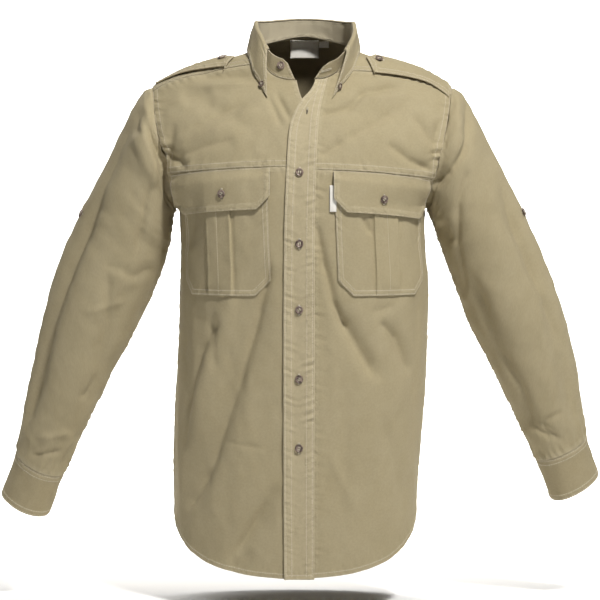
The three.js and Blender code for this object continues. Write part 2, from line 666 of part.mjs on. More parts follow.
function pocketTag() {
  const { inner, outer, z1, z2 } = POCKET_TAG;
  const grid = steps(4).map((v) => steps(2).map((u) => roundAt(lerp(inner, outer, u), lerp(z1, z2, v))));
  return cloth(grid, 0.5, (i) => lerp(2.2, 2.35, i / 2) - (i === 0 ? 0.5 : 0));
}

// A shoulder strap, from the armhole seam to its point near the collar.
function strap(hang) {
  const { start, width, narrowing, point } = STRAP;
  const alongs = [0, 0.14, 0.28, 0.42, 0.56, 0.7, 0.82, 0.92, 1];
  const layer = (extra) =>
    alongs.map((t) =>
      [0, 0.25, 0.5, 0.75, 1].map((u) => {
        const front = lerp(hang.strapFrontAtArm, hang.strapFrontAtPoint, t);
        const y = front + u * (width - narrowing * t);
        const cut = t > 0.9 ? ((t - 0.9) / 0.1) * point * Math.abs(u - 0.5) * 2 : 0;
        const place = fromAbove(lerp(start, hang.strapPoint, t) + cut, y);
        const lift = 1.4 * smooth(t * 3) * (1 + Math.sin(Math.PI * t));
        return onBody(mirrored(place, hang.side), POCKET_GAP + lift + extra);
      }),
    );
  return wall(layer(DOUBLE_CLOTH), layer(0));
}

// Sleeves
function ringAt(rows, at) {
  const table = rows.map((row, index) => ({ ...row, index }));
  const read = (column) => track(table, "index", column)(at);
  return {
    outer: new THREE.Vector3(read("outerX"), read("back"), read("outerZ")),
    inner: new THREE.Vector3(read("innerX"), read("back"), read("innerZ")),
    depth: read("depth"),
    droop: radians(read("droop")),
  };
}

// A point of a sleeve. turn goes round as the armhole's does, and at counts the table's rows from the armhole.
function sleevePoint(hang, rows, at, turn, inward = 0) {
  const ring = ringAt(rows, at);
  const middle = ring.outer.clone().add(ring.inner).multiplyScalar(0.5);
  const half = ring.outer.clone().sub(ring.inner).multiplyScalar(0.5);
  const across = half.length();
  const deep = new THREE.Vector3(0, Math.cos(ring.droop), Math.sin(ring.droop));
  const point = middle
    .addScaledVector(half, (Math.cos(turn) * (across - inward)) / across)
    .addScaledVector(deep, Math.sin(turn) * (ring.depth - inward));
  const seam = armholeAt(turn);
  const start = formPoint(seam.angle, seam.z);
  start.x = start.x - body.shift(seam.z) + 1.5 * SEAM_GAP;
  const centre = new THREE.Vector3(start.x, 0, (ARMHOLE_TOP_Z + ARMHOLE_BOTTOM_Z) / 2);
  start.addScaledVector(centre.sub(start).normalize(), inward);
  const blended = start.lerp(point, smooth(at));
  const shift = body.shift(ARMHOLE_BOTTOM_Z) * (1 - smooth(at));
  return new THREE.Vector3(hang.side * blended.x + shift, blended.y, blended.z);
}

// The same point with the sleeve's folds.
function onSleeve(hang, rows, at, turn, inward = 0) {
  const point = sleevePoint(hang, rows, at, turn, inward);
  const facing = new THREE.Vector3(0, Math.sin(turn), 0);
  const calm = smooth(at / 1.6) * smooth((CUFF_SEAM_ROW - at) / 0.6);
  const height = foldHeight(SLEEVE_FOLDS, hang.side, point, facing) * calm;
  const centre = sleevePoint(hang, rows, at, 0).lerp(sleevePoint(hang, rows, at, Math.PI), 0.5);
  return point.addScaledVector(point.clone().sub(centre).normalize(), height);
}

const turnsRound = (count) => Array.from({ length: count }, (_, i) => (i / count) * 2 * Math.PI);

function sleeve(hang, rows) {
  const ats = [0, 0.33, 0.66, 1, 1.6, 2.1, 2.6, 3.1, 3.6, 4.1, 4.6, 5.1, 5.6, 6.1, 6.6, 7.1, 7.65, CUFF_SEAM_ROW];
  const turns = turnsRound(22);
  const layer = (inward) => ats.map((at) => turns.map((turn) => onSleeve(hang, rows, at, turn, inward)));
  return wall(layer(0), layer(CLOTH), true);
}

// A cuff is a band whose ends lap at the back of the wrist.
function cuff(hang, rows) {
  const from = CUFF_SEAM_ROW + 0.012;
  const to = CUFF_SEAM_ROW + 1;
  const lap = radians(32);
  const middle = radians(75);
  const turns = steps(26).map((t) => middle - lap / 2 + t * (2 * Math.PI + lap));
  const out = (t) => 2.7 * smooth((t - 0.86) / 0.08) - 1.2;
  const layer = (inward) =>
    [from, lerp(from, to, 0.33), lerp(from, to, 0.67), to].map((at) =>
      turns.map((turn, i) => sleevePoint(hang, rows, at, turn, inward - out(i / 26) - 0.4)),
    );
  return wall(layer(0), layer(DOUBLE_CLOTH));
}

// Collar
const ROUND = 2 * Math.PI;
const STAND_ENDS = [neckPlanAt(SIDES.left.standEnd), ROUND + neckPlanAt(SIDES.right.standEnd)];
const FOLD_ENDS = [neckPlanAt(SIDES.left.foldEnd), ROUND + neckPlanAt(SIDES.right.foldEnd)];
const LEAF_TIPS = [radians(SIDES.left.leafTip), radians(SIDES.right.leafTip)];

// The stand's outer face. plan goes round the neck, and v from its seam to its top.
function standPoint(plan, v, inward = 0) {
  const place = neckAt(plan);
  const seam = formPoint(place.angle, place.z);
  const turn = (plan * 180) / Math.PI;
  const outward = new THREE.Vector3(Math.cos(plan), Math.sin(plan), 0);
  const up = standOf.up(turn) * v;
  return seam.addScaledVector(outward, standOf.out(turn) * v - inward).setZ(seam.z + up);
}

function stand() {
  const slant = radians(STAND_SLANT);
  const layer = (inward) =>
    [0.02, 0.35, 0.7, 1].map((v) =>
      steps(40).map((t) => {
        const cornered = 0.16 * (1 - smooth(Math.min(t, 1 - t) / 0.02)) * v;
        const plan = lerp(STAND_ENDS[0] + slant * v, STAND_ENDS[1] - slant * v, t);
        return standPoint(plan, v - cornered, inward);
      }),
    );
  return wall(layer(0.2), layer(0.2 + DOUBLE_CLOTH));
}

// The leaf turns over the top of the stand and falls outside it. t goes round and v down, and inward into its cloth.
function leafPoint(t, v, inward = 0) {
  const plan = lerp(FOLD_ENDS[0], FOLD_ENDS[1], t);
  const outward = new THREE.Vector3(Math.cos(plan), Math.sin(plan), 0);
  const top = standPoint(plan, 1);
  const over = (out, up) => top.clone().addScaledVector(outward, out).add(new THREE.Vector3(0, 0, up));
  if (v <= 0.2) {
    const fold = [
      { v: 0, out: -2, up: 2.6 - inward * 0.95 },
      { v: 0.07, out: 0.8 - inward * 0.2, up: 3.4 - inward },
      { v: 0.14, out: 3.6 - inward * 0.8, up: 2 - inward * 0.6 },
      { v: 0.2, out: 4.6 - inward, up: -1.5 },
    ];
    return over(track(fold, "v", "out")(v), track(fold, "v", "up")(v));
  }
  const lie = neckAt(lerp(LEAF_TIPS[0], LEAF_TIPS[1], t), leafReach(Math.abs(t * 2 - 1)));
  const edge = onBody(lie, POCKET_GAP + 0.4 + DOUBLE_CLOTH - inward);
  const from = over(4.6 - inward, -1.5);
  const bend = from.clone().lerp(edge, 0.5).addScaledVector(outward, 2);
  const down = (v - 0.2) / 0.8;
  return from.multiplyScalar((1 - down) ** 2).addScaledVector(bend, 2 * down * (1 - down)).addScaledVector(edge, down ** 2);
}

function leaf() {
  const layer = (inward) =>
    [0, 0.07, 0.14, 0.2, 0.45, 0.72, 1].map((v) => steps(40).map((t) => leafPoint(t, v, inward)));
  return wall(layer(0), layer(DOUBLE_CLOTH));
}

// Labels
function neckPatch({ x1, x2, z1, z2 }, off) {
  const layer = (inward) =>
    steps(2).map((v) =>
      steps(4).map((u) => {
        const x = lerp(x1, x2, u);
        const z = lerp(z1, z2, v);
        const n = body.power(z);
        const y = body.back(z) * (1 - Math.abs((x - body.shift(z)) / body.halfWidth(z)) ** n) ** (1 / n);
        return new THREE.Vector3(x, Math.min(y, 80) - CLOTH - off - inward, z);
      }),
    );
  return wall(layer(0), layer(0.5));
}

// Buttons
function button(radius) {
  const profile = [
    [0, 0], [radius * 0.72, 0], [radius, 1], [radius * 0.95, BUTTON_THICKNESS],
    [radius * 0.62, BUTTON_THICKNESS * 0.72], [0, BUTTON_THICKNESS * 0.72],
  ].map(([r, h]) => new THREE.Vector2(r, h));
  return new THREE.LatheGeometry(profile, 12).rotateX(Math.PI / 2);
}

// Sets a button on a surface, which is a function of two numbers, facing away from a point inside.
function setButton(name, surface, a, b, inside, out, radius = BUTTON_RADIUS) {
  const point = surface(a, b);
  const along = surface(a + 0.02, b).sub(point);
  const normal = along.cross(surface(a, b + 0.02).sub(point)).normalize();
  if (normal.dot(point.clone().sub(inside)) < 0) normal.negate();
  const mesh = add(name, button(radius), "button");
  mesh.position.copy(point).addScaledVector(normal, out + BUTTON_GAP);
  mesh.quaternion.setFromUnitVectors(new THREE.Vector3(0, 0, 1), normal);
}

// Assembly
for (const [name, hang] of Object.entries(SIDES)) {
  const rows = SLEEVES[name];
  add(`lower_front_${name}`, cloth(lowerFront(hang), CLOTH));
  add(`upper_front_${name}`, cloth(upperFront(hang), CLOTH));
  add(`sleeve_${name}`, sleeve(hang, rows));
  add(`cuff_${name}`, cuff(hang, rows));
  add(`pocket_${name}`, pocketPanel(hang));
  add(`pocket_flap_${name}`, flapPanel(hang));
  add(`shoulder_strap_${name}`, strap(hang));
}
add("back", cloth(backPanel(), CLOTH));
add("yoke", cloth(yoke(), CLOTH));
add("placket", placketPanel());
add("collar_stand", stand(), "collar");
add("collar_leaf", leaf(), "collar");
add("neck_label", neckPatch(NECK_LABEL, 2), "label");
add("size_tab", neckPatch(SIZE_TAB, 2.6), "label");
add("pocket_tag", pocketTag(), "label");

const bodySurface = (x, z) => onBody(frontAt(x, z));
const spine = (z) => new THREE.Vector3(0, 0, z);
PLACKET_BUTTONS.forEach((z, i) => {
  setButton(`placket_button_${i + 1}`, bodySurface, PLACKET_BUTTON_X, z, spine(z), LAY_GAP + CLOTH);
});
const collarMiddle = new THREE.Vector3(body.shift(0), 0, -20);
setButton("stand_button", standPoint, radians(245), 0.66, collarMiddle, 0);
setButton("collar_button_left", leafPoint, 0.014, 0.92, collarMiddle, 0, SMALL_BUTTON_RADIUS);
setButton("collar_button_right", leafPoint, 0.986, 0.92, collarMiddle, 0, SMALL_BUTTON_RADIUS);
for (const [name, hang] of Object.entries(SIDES)) {
  const rows = SLEEVES[name];
  const { x, z } = FLAP_BUTTONS[name];
  setButton(`flap_button_${name}`, bodySurface, x, z, spine(z), 2 * (POCKET_GAP + CLOTH) + PLEAT.raise);
  const strapTop = (px, py) => onBody(mirrored(fromAbove(px, py), hang.side));
  const strapMiddle = hang.strapFrontAtPoint + (STRAP.width - STRAP.narrowing) / 2;
  const strapX = hang.strapPoint + STRAP_BUTTON_FROM_POINT;
  setButton(`strap_button_${name}`, strapTop, strapX, strapMiddle, spine(-60), POCKET_GAP + DOUBLE_CLOTH + 2);
  const sleeveSurface = (at, turn) => onSleeve(hang, rows, at, turn);
  const sleeveMiddle = (at) => sleeveSurface(at, 0).lerp(sleeveSurface(at, Math.PI), 0.5);
  setButton(`sleeve_button_${name}`, sleeveSurface, 3.9, radians(-12), sleeveMiddle(3.9), 0);
  const cuffAt = CUFF_SEAM_ROW + 0.5;
  setButton(`cuff_button_${name}`, sleeveSurface, cuffAt, radians(CUFF_BUTTON_TURN), sleeveMiddle(cuffAt), 2);
}

export default shirt;
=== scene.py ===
import math
import bpy
import numpy as np
from mathutils import Matrix, Vector


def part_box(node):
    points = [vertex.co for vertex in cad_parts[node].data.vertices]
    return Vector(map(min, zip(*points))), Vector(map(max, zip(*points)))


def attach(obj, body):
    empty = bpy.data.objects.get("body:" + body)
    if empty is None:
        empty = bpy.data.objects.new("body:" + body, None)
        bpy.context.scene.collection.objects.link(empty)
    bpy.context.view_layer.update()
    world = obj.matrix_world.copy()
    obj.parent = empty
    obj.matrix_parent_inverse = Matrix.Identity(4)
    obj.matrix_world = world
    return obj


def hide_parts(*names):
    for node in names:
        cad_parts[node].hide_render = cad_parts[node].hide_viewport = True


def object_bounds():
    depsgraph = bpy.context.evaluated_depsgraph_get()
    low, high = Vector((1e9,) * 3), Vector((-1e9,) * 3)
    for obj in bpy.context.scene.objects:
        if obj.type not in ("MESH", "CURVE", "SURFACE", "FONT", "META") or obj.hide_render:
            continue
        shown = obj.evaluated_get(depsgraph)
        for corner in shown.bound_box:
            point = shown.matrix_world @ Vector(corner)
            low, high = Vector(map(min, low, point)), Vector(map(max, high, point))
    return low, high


# A long-sleeved field shirt in washed khaki twill, filled out as it is worn.
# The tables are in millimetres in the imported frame: +Z up, the front faces -Y, the wearer's left is +X.

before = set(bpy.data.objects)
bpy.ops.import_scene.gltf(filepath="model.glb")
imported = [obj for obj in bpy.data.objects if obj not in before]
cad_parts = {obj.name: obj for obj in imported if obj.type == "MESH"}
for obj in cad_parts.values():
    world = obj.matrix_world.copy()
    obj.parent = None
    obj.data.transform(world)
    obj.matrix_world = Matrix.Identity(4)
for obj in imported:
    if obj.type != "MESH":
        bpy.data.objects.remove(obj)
SIZE_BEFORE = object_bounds()

bl_info = {
    "name": "Field shirt",
    "version": (1, 0, 0),
    "blender": (4, 5, 0),
    "location": "View3D > Sidebar > Field shirt",
    "description": "Builds the cloth, sewing and buttons of a field shirt on its packed frame",
    "category": "Add Mesh",
}

# Driving sizes
CLOTH = 1.2
DOUBLE_CLOTH = 1.8
TAPE = 0.5
SEAM_GAP = 0.45
LAY_GAP = 0.5
POCKET_GAP = 0.9
NECK_HALF_WIDTH = 71
NECK_FRONT = 68
NECK_BACK = 62
NECK_POWER = 2.6
ARMHOLE_TOP_Z = -46
ARMHOLE_BOTTOM_Z = -216
ARMHOLE_MIDDLE_Z = (ARMHOLE_TOP_Z + ARMHOLE_BOTTOM_Z) / 2
YOKE_BACK_Z = -96
STAND_SLANT = 9
CUFF_SEAM_ROW = 8
CUFF_LAP_DEGREES = 32
CUFF_LAP_AT_DEGREES = 75
SLEEVE_RING_SPACING = 62
SLEEVE_SQUARE = 7
BUTTON_RADIUS = 5.75
BUTTON_THICKNESS = 2.4
SMALL_BUTTON_RADIUS = 4.5

# Level sections of the body: z, half width, front, back, shift and power
BODY = [
    (-760, 172, 124, 121, -7, 2.3), (-629, 173.5, 126, 122, -6.5, 2.3), (-526, 176.5, 128, 121, -2, 2.35),
    (-423, 177.5, 129, 119, 3.3, 2.4), (-320, 176.5, 133, 122, 6, 2.4), (-262, 174, 135, 127, 4, 2.4),
    (-216, 175, 134.5, 129, 2.5, 2.4), (-185, 195, 132, 129, 2.5, 2.35), (-155, 216, 127, 128, 2.5, 2.3),
    (-125, 229, 119, 126, 2.5, 2.2), (-95, 233, 107, 122, 2.5, 2.05), (-70, 227, 93, 117, 2.5, 1.88),
    (-46, 213, 75, 110, 3, 1.78), (-25, 172, 61, 101, 4, 1.78), (-11, 131, 56, 94, 5, 1.85),
    (4, 80, 52, 86, 5.5, 2), (12, 70, 48, 79, 5.5, 2), (24, 48, 39, 65, 5.5, 2), (36, 24, 26, 44, 5.5, 2),
]

# The hem, from the middle of the front or back to a side seam: degrees round the body and z
HEM = [(0, -738), (32, -731.5), (52, -718), (63, -703), (71.5, -687.5), (82, -667), (90, -654)]

# How far each armhole seam stands from the middle of the body: z and x
ARMHOLE = [(-216, 175), (-195, 181.5), (-170, 189), (-140, 197), (-105, 205), (-78, 210), (-46, 213)]

# The button placket: z, free edge, seamed edge and how far the free edge lifts
PLACKET = [
    (-760, -22, 20, 0), (-600, -23, 20, 0), (-400, -23, 20.5, 0), (-250, -22, 20.5, 0),
    (-165, -19, 22.5, 0), (-110, -15.5, 25, 0.5), (-92, -11.5, 26.5, 1.5), (-75, -3, 29, 3),
    (-66, 4, 31, 4), (-57, 12.5, 33, 4), (-48, 18, 35.5, 3), (-36, 21.5, 38.5, 0), (-18, 24, 43, 0),
]

# The edge of the wearer's right front: z and x
UNDER_EDGE = [(-760, 13), (-400, 14), (-165, 16), (-100, 15), (-83, 10), (-66, 4), (-52, -1), (-36, -5)]

# What differs between the two sides as they hang
SIDES = {
    "left": {
        "side": 1, "chest_middle": -162, "chest_end": -177, "yoke_neck": -51, "yoke_tip": -58,
        "stand_end": 21.5, "fold_end": 57.8, "leaf_tip": -64,
        "strap_point": 87.5, "strap_at_point": -51, "strap_at_arm": -27,
    },
    "right": {
        "side": -1, "chest_middle": -158, "chest_end": -170, "yoke_neck": -42, "yoke_tip": -53,
        "stand_end": -5, "fold_end": -43.6, "leaf_tip": 240,
        "strap_point": 97.5, "strap_at_point": -42, "strap_at_arm": -6,
    },
}

# Rings of each sleeve: outer x and z, inner x and z, depth, how far back and droop
SLEEVES = {
    "left": [
        (219, -46, 180, -216, 71, 4, 0), (231, -56, 182, -221, 73, 4, 0),
        (247.5, -82, 185, -229, 75, 4, 0), (283, -154, 196, -259, 73, 5, 2),
        (323, -231, 214, -309, 68, 8, 4), (363, -326, 240, -377, 64, 12, 7),
        (389, -407, 277, -450, 58, 19, 11), (403.5, -486, 311, -520, 49, 27, 15),
        (413, -545, 337, -577, 39, 34, 18), (431, -601, 360, -636, 37, 40, 20),
    ],
    "right": [
        (217, -46, 177, -216, 71, 4, 0), (227, -57, 178, -221, 73, 4, 0), (244, -88, 181, -229, 75, 4, 0),
        (283, -166, 184.5, -260, 73, 5, 2), (317, -232, 192, -292, 69, 8, 5),
        (357, -332, 233, -386, 64, 12, 8), (378, -419, 276, -466, 56, 19, 13),
        (396, -505, 311, -538, 46, 27, 18), (409, -568, 338, -598, 38, 33, 23),
        (431, -628, 360, -656, 36, 38, 25),
    ],
}

# Soft folds as lines seen from the front: x1, z1, x2, z2, width, depth (out) and face (-1 front, 1 back),
# and what their depths are multiplied by
FOLD_DEPTH = 1.5
BODY_FOLDS = [
    (-62, -366, -162, -640, 20, -6.5, -1), (-92, -330, -172, -560, 14, 3, -1),
    (-48, -640, -98, -735, 17, -3.5, -1), (55, -360, 110, -455, 13, -3, -1),
    (128, -372, 158, -470, 12, -3, -1), (-60, -108, -150, -60, 14, -2, -1),
    (60, -90, 150, -80, 14, -2, -1), (-40, -300, -120, -600, 20, -5, 1), (50, -300, 125, -590, 20, -5, 1),
    (-90, -130, -150, -230, 16, -3, 1), (90, -130, 150, -230, 16, -3, 1),
]
SLEEVE_FOLDS = [
    (232, -110, 208, -176, 9, 4, -1), (290, -210, 345, -330, 13, -5, -1),
    (350, -345, 388, -520, 11, -4, -1), (240, -330, 300, -440, 14, -3, -1),
    (250, -150, 320, -330, 15, -4, 1), (290, -380, 360, -510, 13, -4, 1),
]

# Smaller creases, which have a sharper crest than the folds, and what their depths are multiplied by
CREASE_DEPTH = 2.8
BODY_CREASES = [
    (-42, -300, -60, -372, 6, -2.6, -1), (-58, -366, -88, -470, 6, -2.8, -1),
    (-84, -450, -134, -600, 8, -3, -1), (-132, -590, -160, -640, 8, -2, -1),
    (-66, -400, -116, -540, 7, 1.6, -1), (-117, -376, -140, -420, 8, -2.2, -1),
    (-138, -415, -158, -490, 6, -2.8, -1), (-157, -480, -166, -560, 7, -2.4, -1),
    (-34, -612, -94, -706, 8, -2.2, -1), (-70, -700, -108, -744, 9, -0.9, -1),
    (-110, -545, -51, -553, 3, -0.5, -1), (-122, -366, -120, -445, 5, -1, -1),
    (-156, -368, -118, -384, 12, -0.7, -1), (24, -240, 34, -300, 5, -2.2, -1),
    (33, -290, 48, -350, 5, -2.6, -1), (46, -345, 66, -386, 5, -2.8, -1),
    (62, -378, 106, -452, 8, -2.3, -1), (116, -377, 140, -402, 5, -2, -1),
    (138, -398, 158, -448, 6, -2.4, -1), (102, -362, 134, -355, 6, -0.7, -1),
    (40, -560, 78, -640, 9, 1, -1), (120, -520, 150, -640, 10, -1.4, -1),
    (70, -470, 60, -640, 12, -1.1, -1), (-33, -54, -14, -92, 4, -1.6, -1),
    (-44, -60, -26, -100, 4, -1.3, -1), (-70, -30, -144, -30, 7, -1.9, -1),
    (-76, -42, -150, -46, 6, 1.4, -1), (-127, -52, -166, -62, 13, -1.3, -1),
    (-66, -62, -172, -112, 8, -1.6, -1), (-62, -80, -150, -118, 9, 1.3, -1),
    (-96, -120, -136, -130, 7, -1.4, -1), (-134, -129, -180, -148, 7, -1.6, -1),
    (-196, -136, -160, -160, 6, -2.2, -1), (30, -86, 66, -74, 5, -2, -1), (64, -77, 92, -52, 6, -2.6, -1),
    (90, -54, 140, -43, 6, -2.2, -1), (70, -62, 160, -58, 7, 1.3, -1), (30, -143, 60, -122, 6, -1.7, -1),
    (58, -124, 138, -76, 9, -1.9, -1), (126, -126, 152, -148, 6, -2.2, -1),
    (150, -147, 184, -163, 6, -2.4, -1), (160, -84, 190, -126, 6, -2, -1),
    (196, -96, 188, -160, 5, -1.6, -1), (-180, -100, -190, -160, 6, -1.6, -1),
    (-148, -212, -158, -276, 10, -2.2, -1), (-170, -238, -162, -334, 6, -1.8, -1),
    (86, -228, 100, -252, 4, -1.3, -1), (170, -330, 160, -560, 8, -1.6, -1),
    (-168, -350, -160, -520, 8, -1.5, -1), (-60, -330, -160, -460, 7, -2.2, 1),
    (60, -310, 168, -430, 7, -2.1, 1), (-20, -420, -90, -640, 9, 1.8, 1), (20, -430, 80, -660, 9, 1.7, 1),
    (-150, -420, -80, -520, 7, -1.7, 1), (150, -430, 70, -540, 7, -1.7, 1),
    (-110, -140, -170, -260, 8, 1.6, 1), (110, -140, 170, -250, 8, 1.6, 1),
    (-30, -120, -60, -300, 10, -1.3, 1), (34, -120, 70, -310, 10, -1.3, 1),
]
SLEEVE_CREASES = {
    "left": [
        (238, -58, 241, -100, 6, -3.2, -1), (241, -96, 233, -138, 5, -4, -1),
        (234, -134, 210, -168, 5, -4, -1), (212, -164, 188, -184, 6, -3.2, -1),
        (227, -90, 210, -134, 6, 2.2, -1), (211, -130, 184, -172, 6, 2, -1),
        (239, -165, 224, -208, 6, -1.9, -1), (224, -206, 222, -266, 6, -1.9, -1),
        (222, -262, 234, -334, 6, -1.7, -1), (286, -184, 322, -276, 7, -2, -1),
        (322, -274, 346, -340, 7, -2, -1), (346, -338, 376, -412, 7, -2, -1),
        (376, -410, 396, -520, 7, -1.6, -1), (243, -313, 280, -424, 8, -2, -1),
        (279, -420, 316, -476, 7, -2.4, -1), (315, -474, 330, -530, 7, -2.6, -1),
        (330, -528, 360, -548, 5, -1.8, -1), (346, -523, 376, -510, 4, -1.5, -1),
        (332, -517, 376, -552, 5, -1.8, -1), (196, -240, 214, -270, 7, -2.2, -1),
        (339, -398, 339, -428, 4, -0.9, -1), (260, -160, 330, -300, 8, -2, 1),
        (240, -330, 350, -380, 7, -2, 1), (280, -440, 380, -450, 7, 1.8, 1),
        (330, -540, 400, -530, 5, -1.5, 1),
    ],
    "right": [
        (240, -95, 272, -168, 8, -2.2, -1), (272, -166, 298, -230, 8, -2.3, -1),
        (297, -228, 327, -304, 8, -2.3, -1), (326, -302, 351, -376, 8, -2.1, -1),
        (350, -374, 373, -447, 8, -2, -1), (372, -445, 391, -519, 7, -2, -1),
        (231, -78, 229, -116, 9, -1.5, -1), (215, -100, 188, -168, 7, -4.2, -1),
        (188, -163, 184, -215, 7, -3.4, -1), (226, -92, 204, -152, 6, 2.6, -1),
        (203, -148, 208, -188, 6, 2, -1), (214, -190, 230, -281, 5, -1.6, -1),
        (276, -299, 255, -303, 7, -0.9, -1), (255, -302, 236, -318, 7, -1.1, -1),
        (236, -318, 211, -302, 7, -0.9, -1), (272, -313, 272, -394, 8, -1.9, -1),
        (272, -392, 287, -459, 7, -1.9, -1), (286, -457, 309, -491, 7, -1.7, -1),
        (343, -565, 383, -572, 4, -1.6, -1), (330, -540, 372, -548, 5, 1.4, -1),
        (250, -352, 300, -366, 6, 0.9, -1), (260, -160, 330, -300, 8, -2, 1),
        (240, -330, 350, -380, 7, -2, 1), (280, -450, 370, -460, 7, 1.8, 1),
    ],
}

# The collar's stand round the neck: degrees, height of its top and lean
STAND = [
    (-80, 21, 8), (-45, 23, 9), (-5, 33, -1), (45, 29.5, -3), (90, 24, -4), (135, 29.5, -4), (180, 34, -4),
    (226, 29, -1), (264, 28, 1),
]

# The edge of the collar's leaf, from the back to each point: how far it lies out past the neck seam
LEAF_EDGE = [(0, 17), (0.35, 13), (0.57, 8), (0.8, 12), (0.91, 14.5), (1, 24)]

# The leaf's turn over the top of the stand: share down, out and up, for its outer face and then for how its
# thickness moves them
LEAF_FOLD = [(0, -2, 2.6), (0.07, 0.8, 3.4), (0.14, 3.6, 2), (0.2, 4.6, -1.5)]
LEAF_FOLD_IN = [(0, 0, 0.95), (0.07, 0.2, 1), (0.14, 0.8, 0.6), (0.2, 1, 0)]

# Pockets and flaps, as distances round the body from the middle of the front
POCKET = {"inner": 47, "outer": 195, "top_drop": 16, "bottom": -339, "clip": 22}
PLEAT = {"half_width": 19, "raise": 1.3, "full": 1.0}
FLAP = {"inner": 44.5, "outer": 197.5, "height": 57, "clip": 18, "flare": 9}
STRAP = {"start": 208, "width": 39, "narrowing": 4, "point": 15}
NECK_LABEL = (-14, 27, -4, 22, 2)
SIZE_TAB = (27.6, 41.5, 11, 20, 2.6)
POCKET_TAG = (39, 48, -221, -184)

# Buttons
PLACKET_BUTTONS = (-165, -265, -359, -455, -553)
PLACKET_BUTTON_X = -1
OPEN_BUTTONHOLE = (9.5, -81.5)
OPEN_BUTTONHOLE_WAY = (0.12, 0, 1)
LEAF_BUTTONS = (0.02, 0.98)
LEAF_BUTTON_DOWN = 0.9
FLAP_BUTTONS = {"left": (118.5, -203), "right": (-110, -196)}
SLEEVE_BUTTON = (3.9, -12)
STRAP_BUTTON_FROM_POINT = 19
CUFF_BUTTON_FROM_END = 13
BUTTON_LIFT = 0.5
BUTTON_DISH = 0.68
HOLE_FROM_MIDDLE = 0.235
HOLE_RADIUS = 0.13


# Small sums
def smooth(t):
    c = np.clip(t, 0, 1)
    return c * c * (3 - 2 * c)


def lerp(a, b, t):
    return a + (b - a) * t


def track(rows, column):
    """Reads one column of a table between its rows along a smooth line that never overshoots them."""
    xs = np.array([row[0] for row in rows], float)
    ys = np.array([row[column] for row in rows], float)
    secants = np.diff(ys) / np.diff(xs)
    slopes = np.zeros(len(xs))
    slopes[0], slopes[-1] = secants[0], secants[-1]
    before, after = secants[:-1], secants[1:]
    total = np.where(before + after == 0, 1, before + after)
    slopes[1:-1] = np.where(before * after > 0, 2 * before * after / total, 0)

    def read(at):
        x = np.clip(at, xs[0], xs[-1])
        i = np.clip(np.searchsorted(xs, x, side="left") - 1, 0, len(xs) - 2)
        h = xs[i + 1] - xs[i]
        t = (x - xs[i]) / h
        rise = t * t * (3 - 2 * t)
        leave = t * (1 - t) * (1 - t) * h * slopes[i]
        arrive = t * t * (t - 1) * h * slopes[i + 1]
        return lerp(ys[i], ys[i + 1], rise) + leave + arrive

    return read


body_width, body_front, body_back, body_shift, body_power = (track(BODY, c) for c in range(1, 6))
armhole_x = track(ARMHOLE, 1)
hem_at = track(HEM, 1)
placket_free, placket_seam, placket_lift = (track(PLACKET, c) for c in range(1, 4))
under_edge = track(UNDER_EDGE, 1)
stand_up, stand_out = track(STAND, 1), track(STAND, 2)
leaf_reach = track(LEAF_EDGE, 1)


def unit(v):
    return v / np.maximum(np.linalg.norm(v, axis=-1, keepdims=True), 1e-9)


def xyz(x, y, z):
    return np.stack(np.broadcast_arrays(x, y, z), axis=-1).astype(float)


def super_radius(c, s, wide, deep, power):
    return (np.abs(c / wide) ** power + np.abs(s / deep) ** power) ** (-1 / power)


# The body's form
def form_point(angle, z):
    """A point of the body. angle is -90 degrees in the middle of the front and 0 at the wearer's left."""
    c, s = np.cos(angle), np.sin(angle)
    deep = np.where(s < 0, body_front(z), body_back(z))
    r = super_radius(c, s, body_width(z), deep, body_power(z))
    return xyz(body_shift(z) + r * c, r * s, z)


def form_normal(angle, z):
    around = form_point(angle + 0.01, z) - form_point(angle - 0.01, z)
    up = form_point(angle, z + 0.8) - form_point(angle, z - 0.8)
    return unit(np.cross(around, up))


def fold_height(folds, side, point, facing, sharp=2.0):
    """How far the folds of a table push points out."""
    total = np.zeros(point.shape[:-1])
    for x1, z1, x2, z2, width, depth, face in folds:
        dx, dz = x2 - x1, z2 - z1
        px, pz = point[..., 0] * side - x1, point[..., 2] - z1
        long = math.hypot(dx, dz)
        t = (px * dx + pz * dz) / (long * long)
        away = np.abs(px * dz - pz * dx) / long
        ends = smooth(t * 2.5 + 0.4) * smooth((1 - t) * 2.5 + 0.4)
        faces = smooth(facing * face * 1.6 - 0.1)
        total += depth * np.exp(-((away / width) ** sharp)) * ends * faces
    return total


def waves(point, length, seed, count=7, stretch=(1, 1, 1)):
    """Soft unevenness between about -1 and 1, the same for every piece that passes a point."""
    random = np.random.default_rng(seed)
    total = np.zeros(point.shape[:-1])
    p = point * np.array(stretch)
    for _ in range(count):
        way = unit(random.normal(size=3))
        k = 2 * math.pi / (length * random.uniform(0.7, 1.5))
        total += np.sin(p @ way * k + random.uniform(0, 6.28) + 1.3 * np.sin(p @ way[[1, 2, 0]] * k * 0.6))
    return total / count * 1.6


def ripples(along, length, seed, count=6):
    """Unevenness along a seam, between about -1 and 1."""
    random = np.random.default_rng(seed)
    total = np.zeros(np.shape(along))
    for _ in range(count):
        k = 2 * math.pi / (length * random.uniform(0.6, 1.7))
        total += np.sin(along * k + random.uniform(0, 6.28))
    return total / count * 1.8


def body_relief(point, normal):
    """The folds, creases and slack of the cloth on the body."""
    facing = normal[..., 1]
    creases = CREASE_DEPTH * fold_height(BODY_CREASES, 1, point, facing, 1.5)
    folds = FOLD_DEPTH * fold_height(BODY_FOLDS, 1, point, facing) + creases
    slack = 1.1 * waves(point, 46, 3, stretch=(1, 1, 0.55)) + 0.45 * waves(point, 19, 5, stretch=(1, 1, 0.7))
    return folds + slack * smooth((-20 - point[..., 2]) / 60)


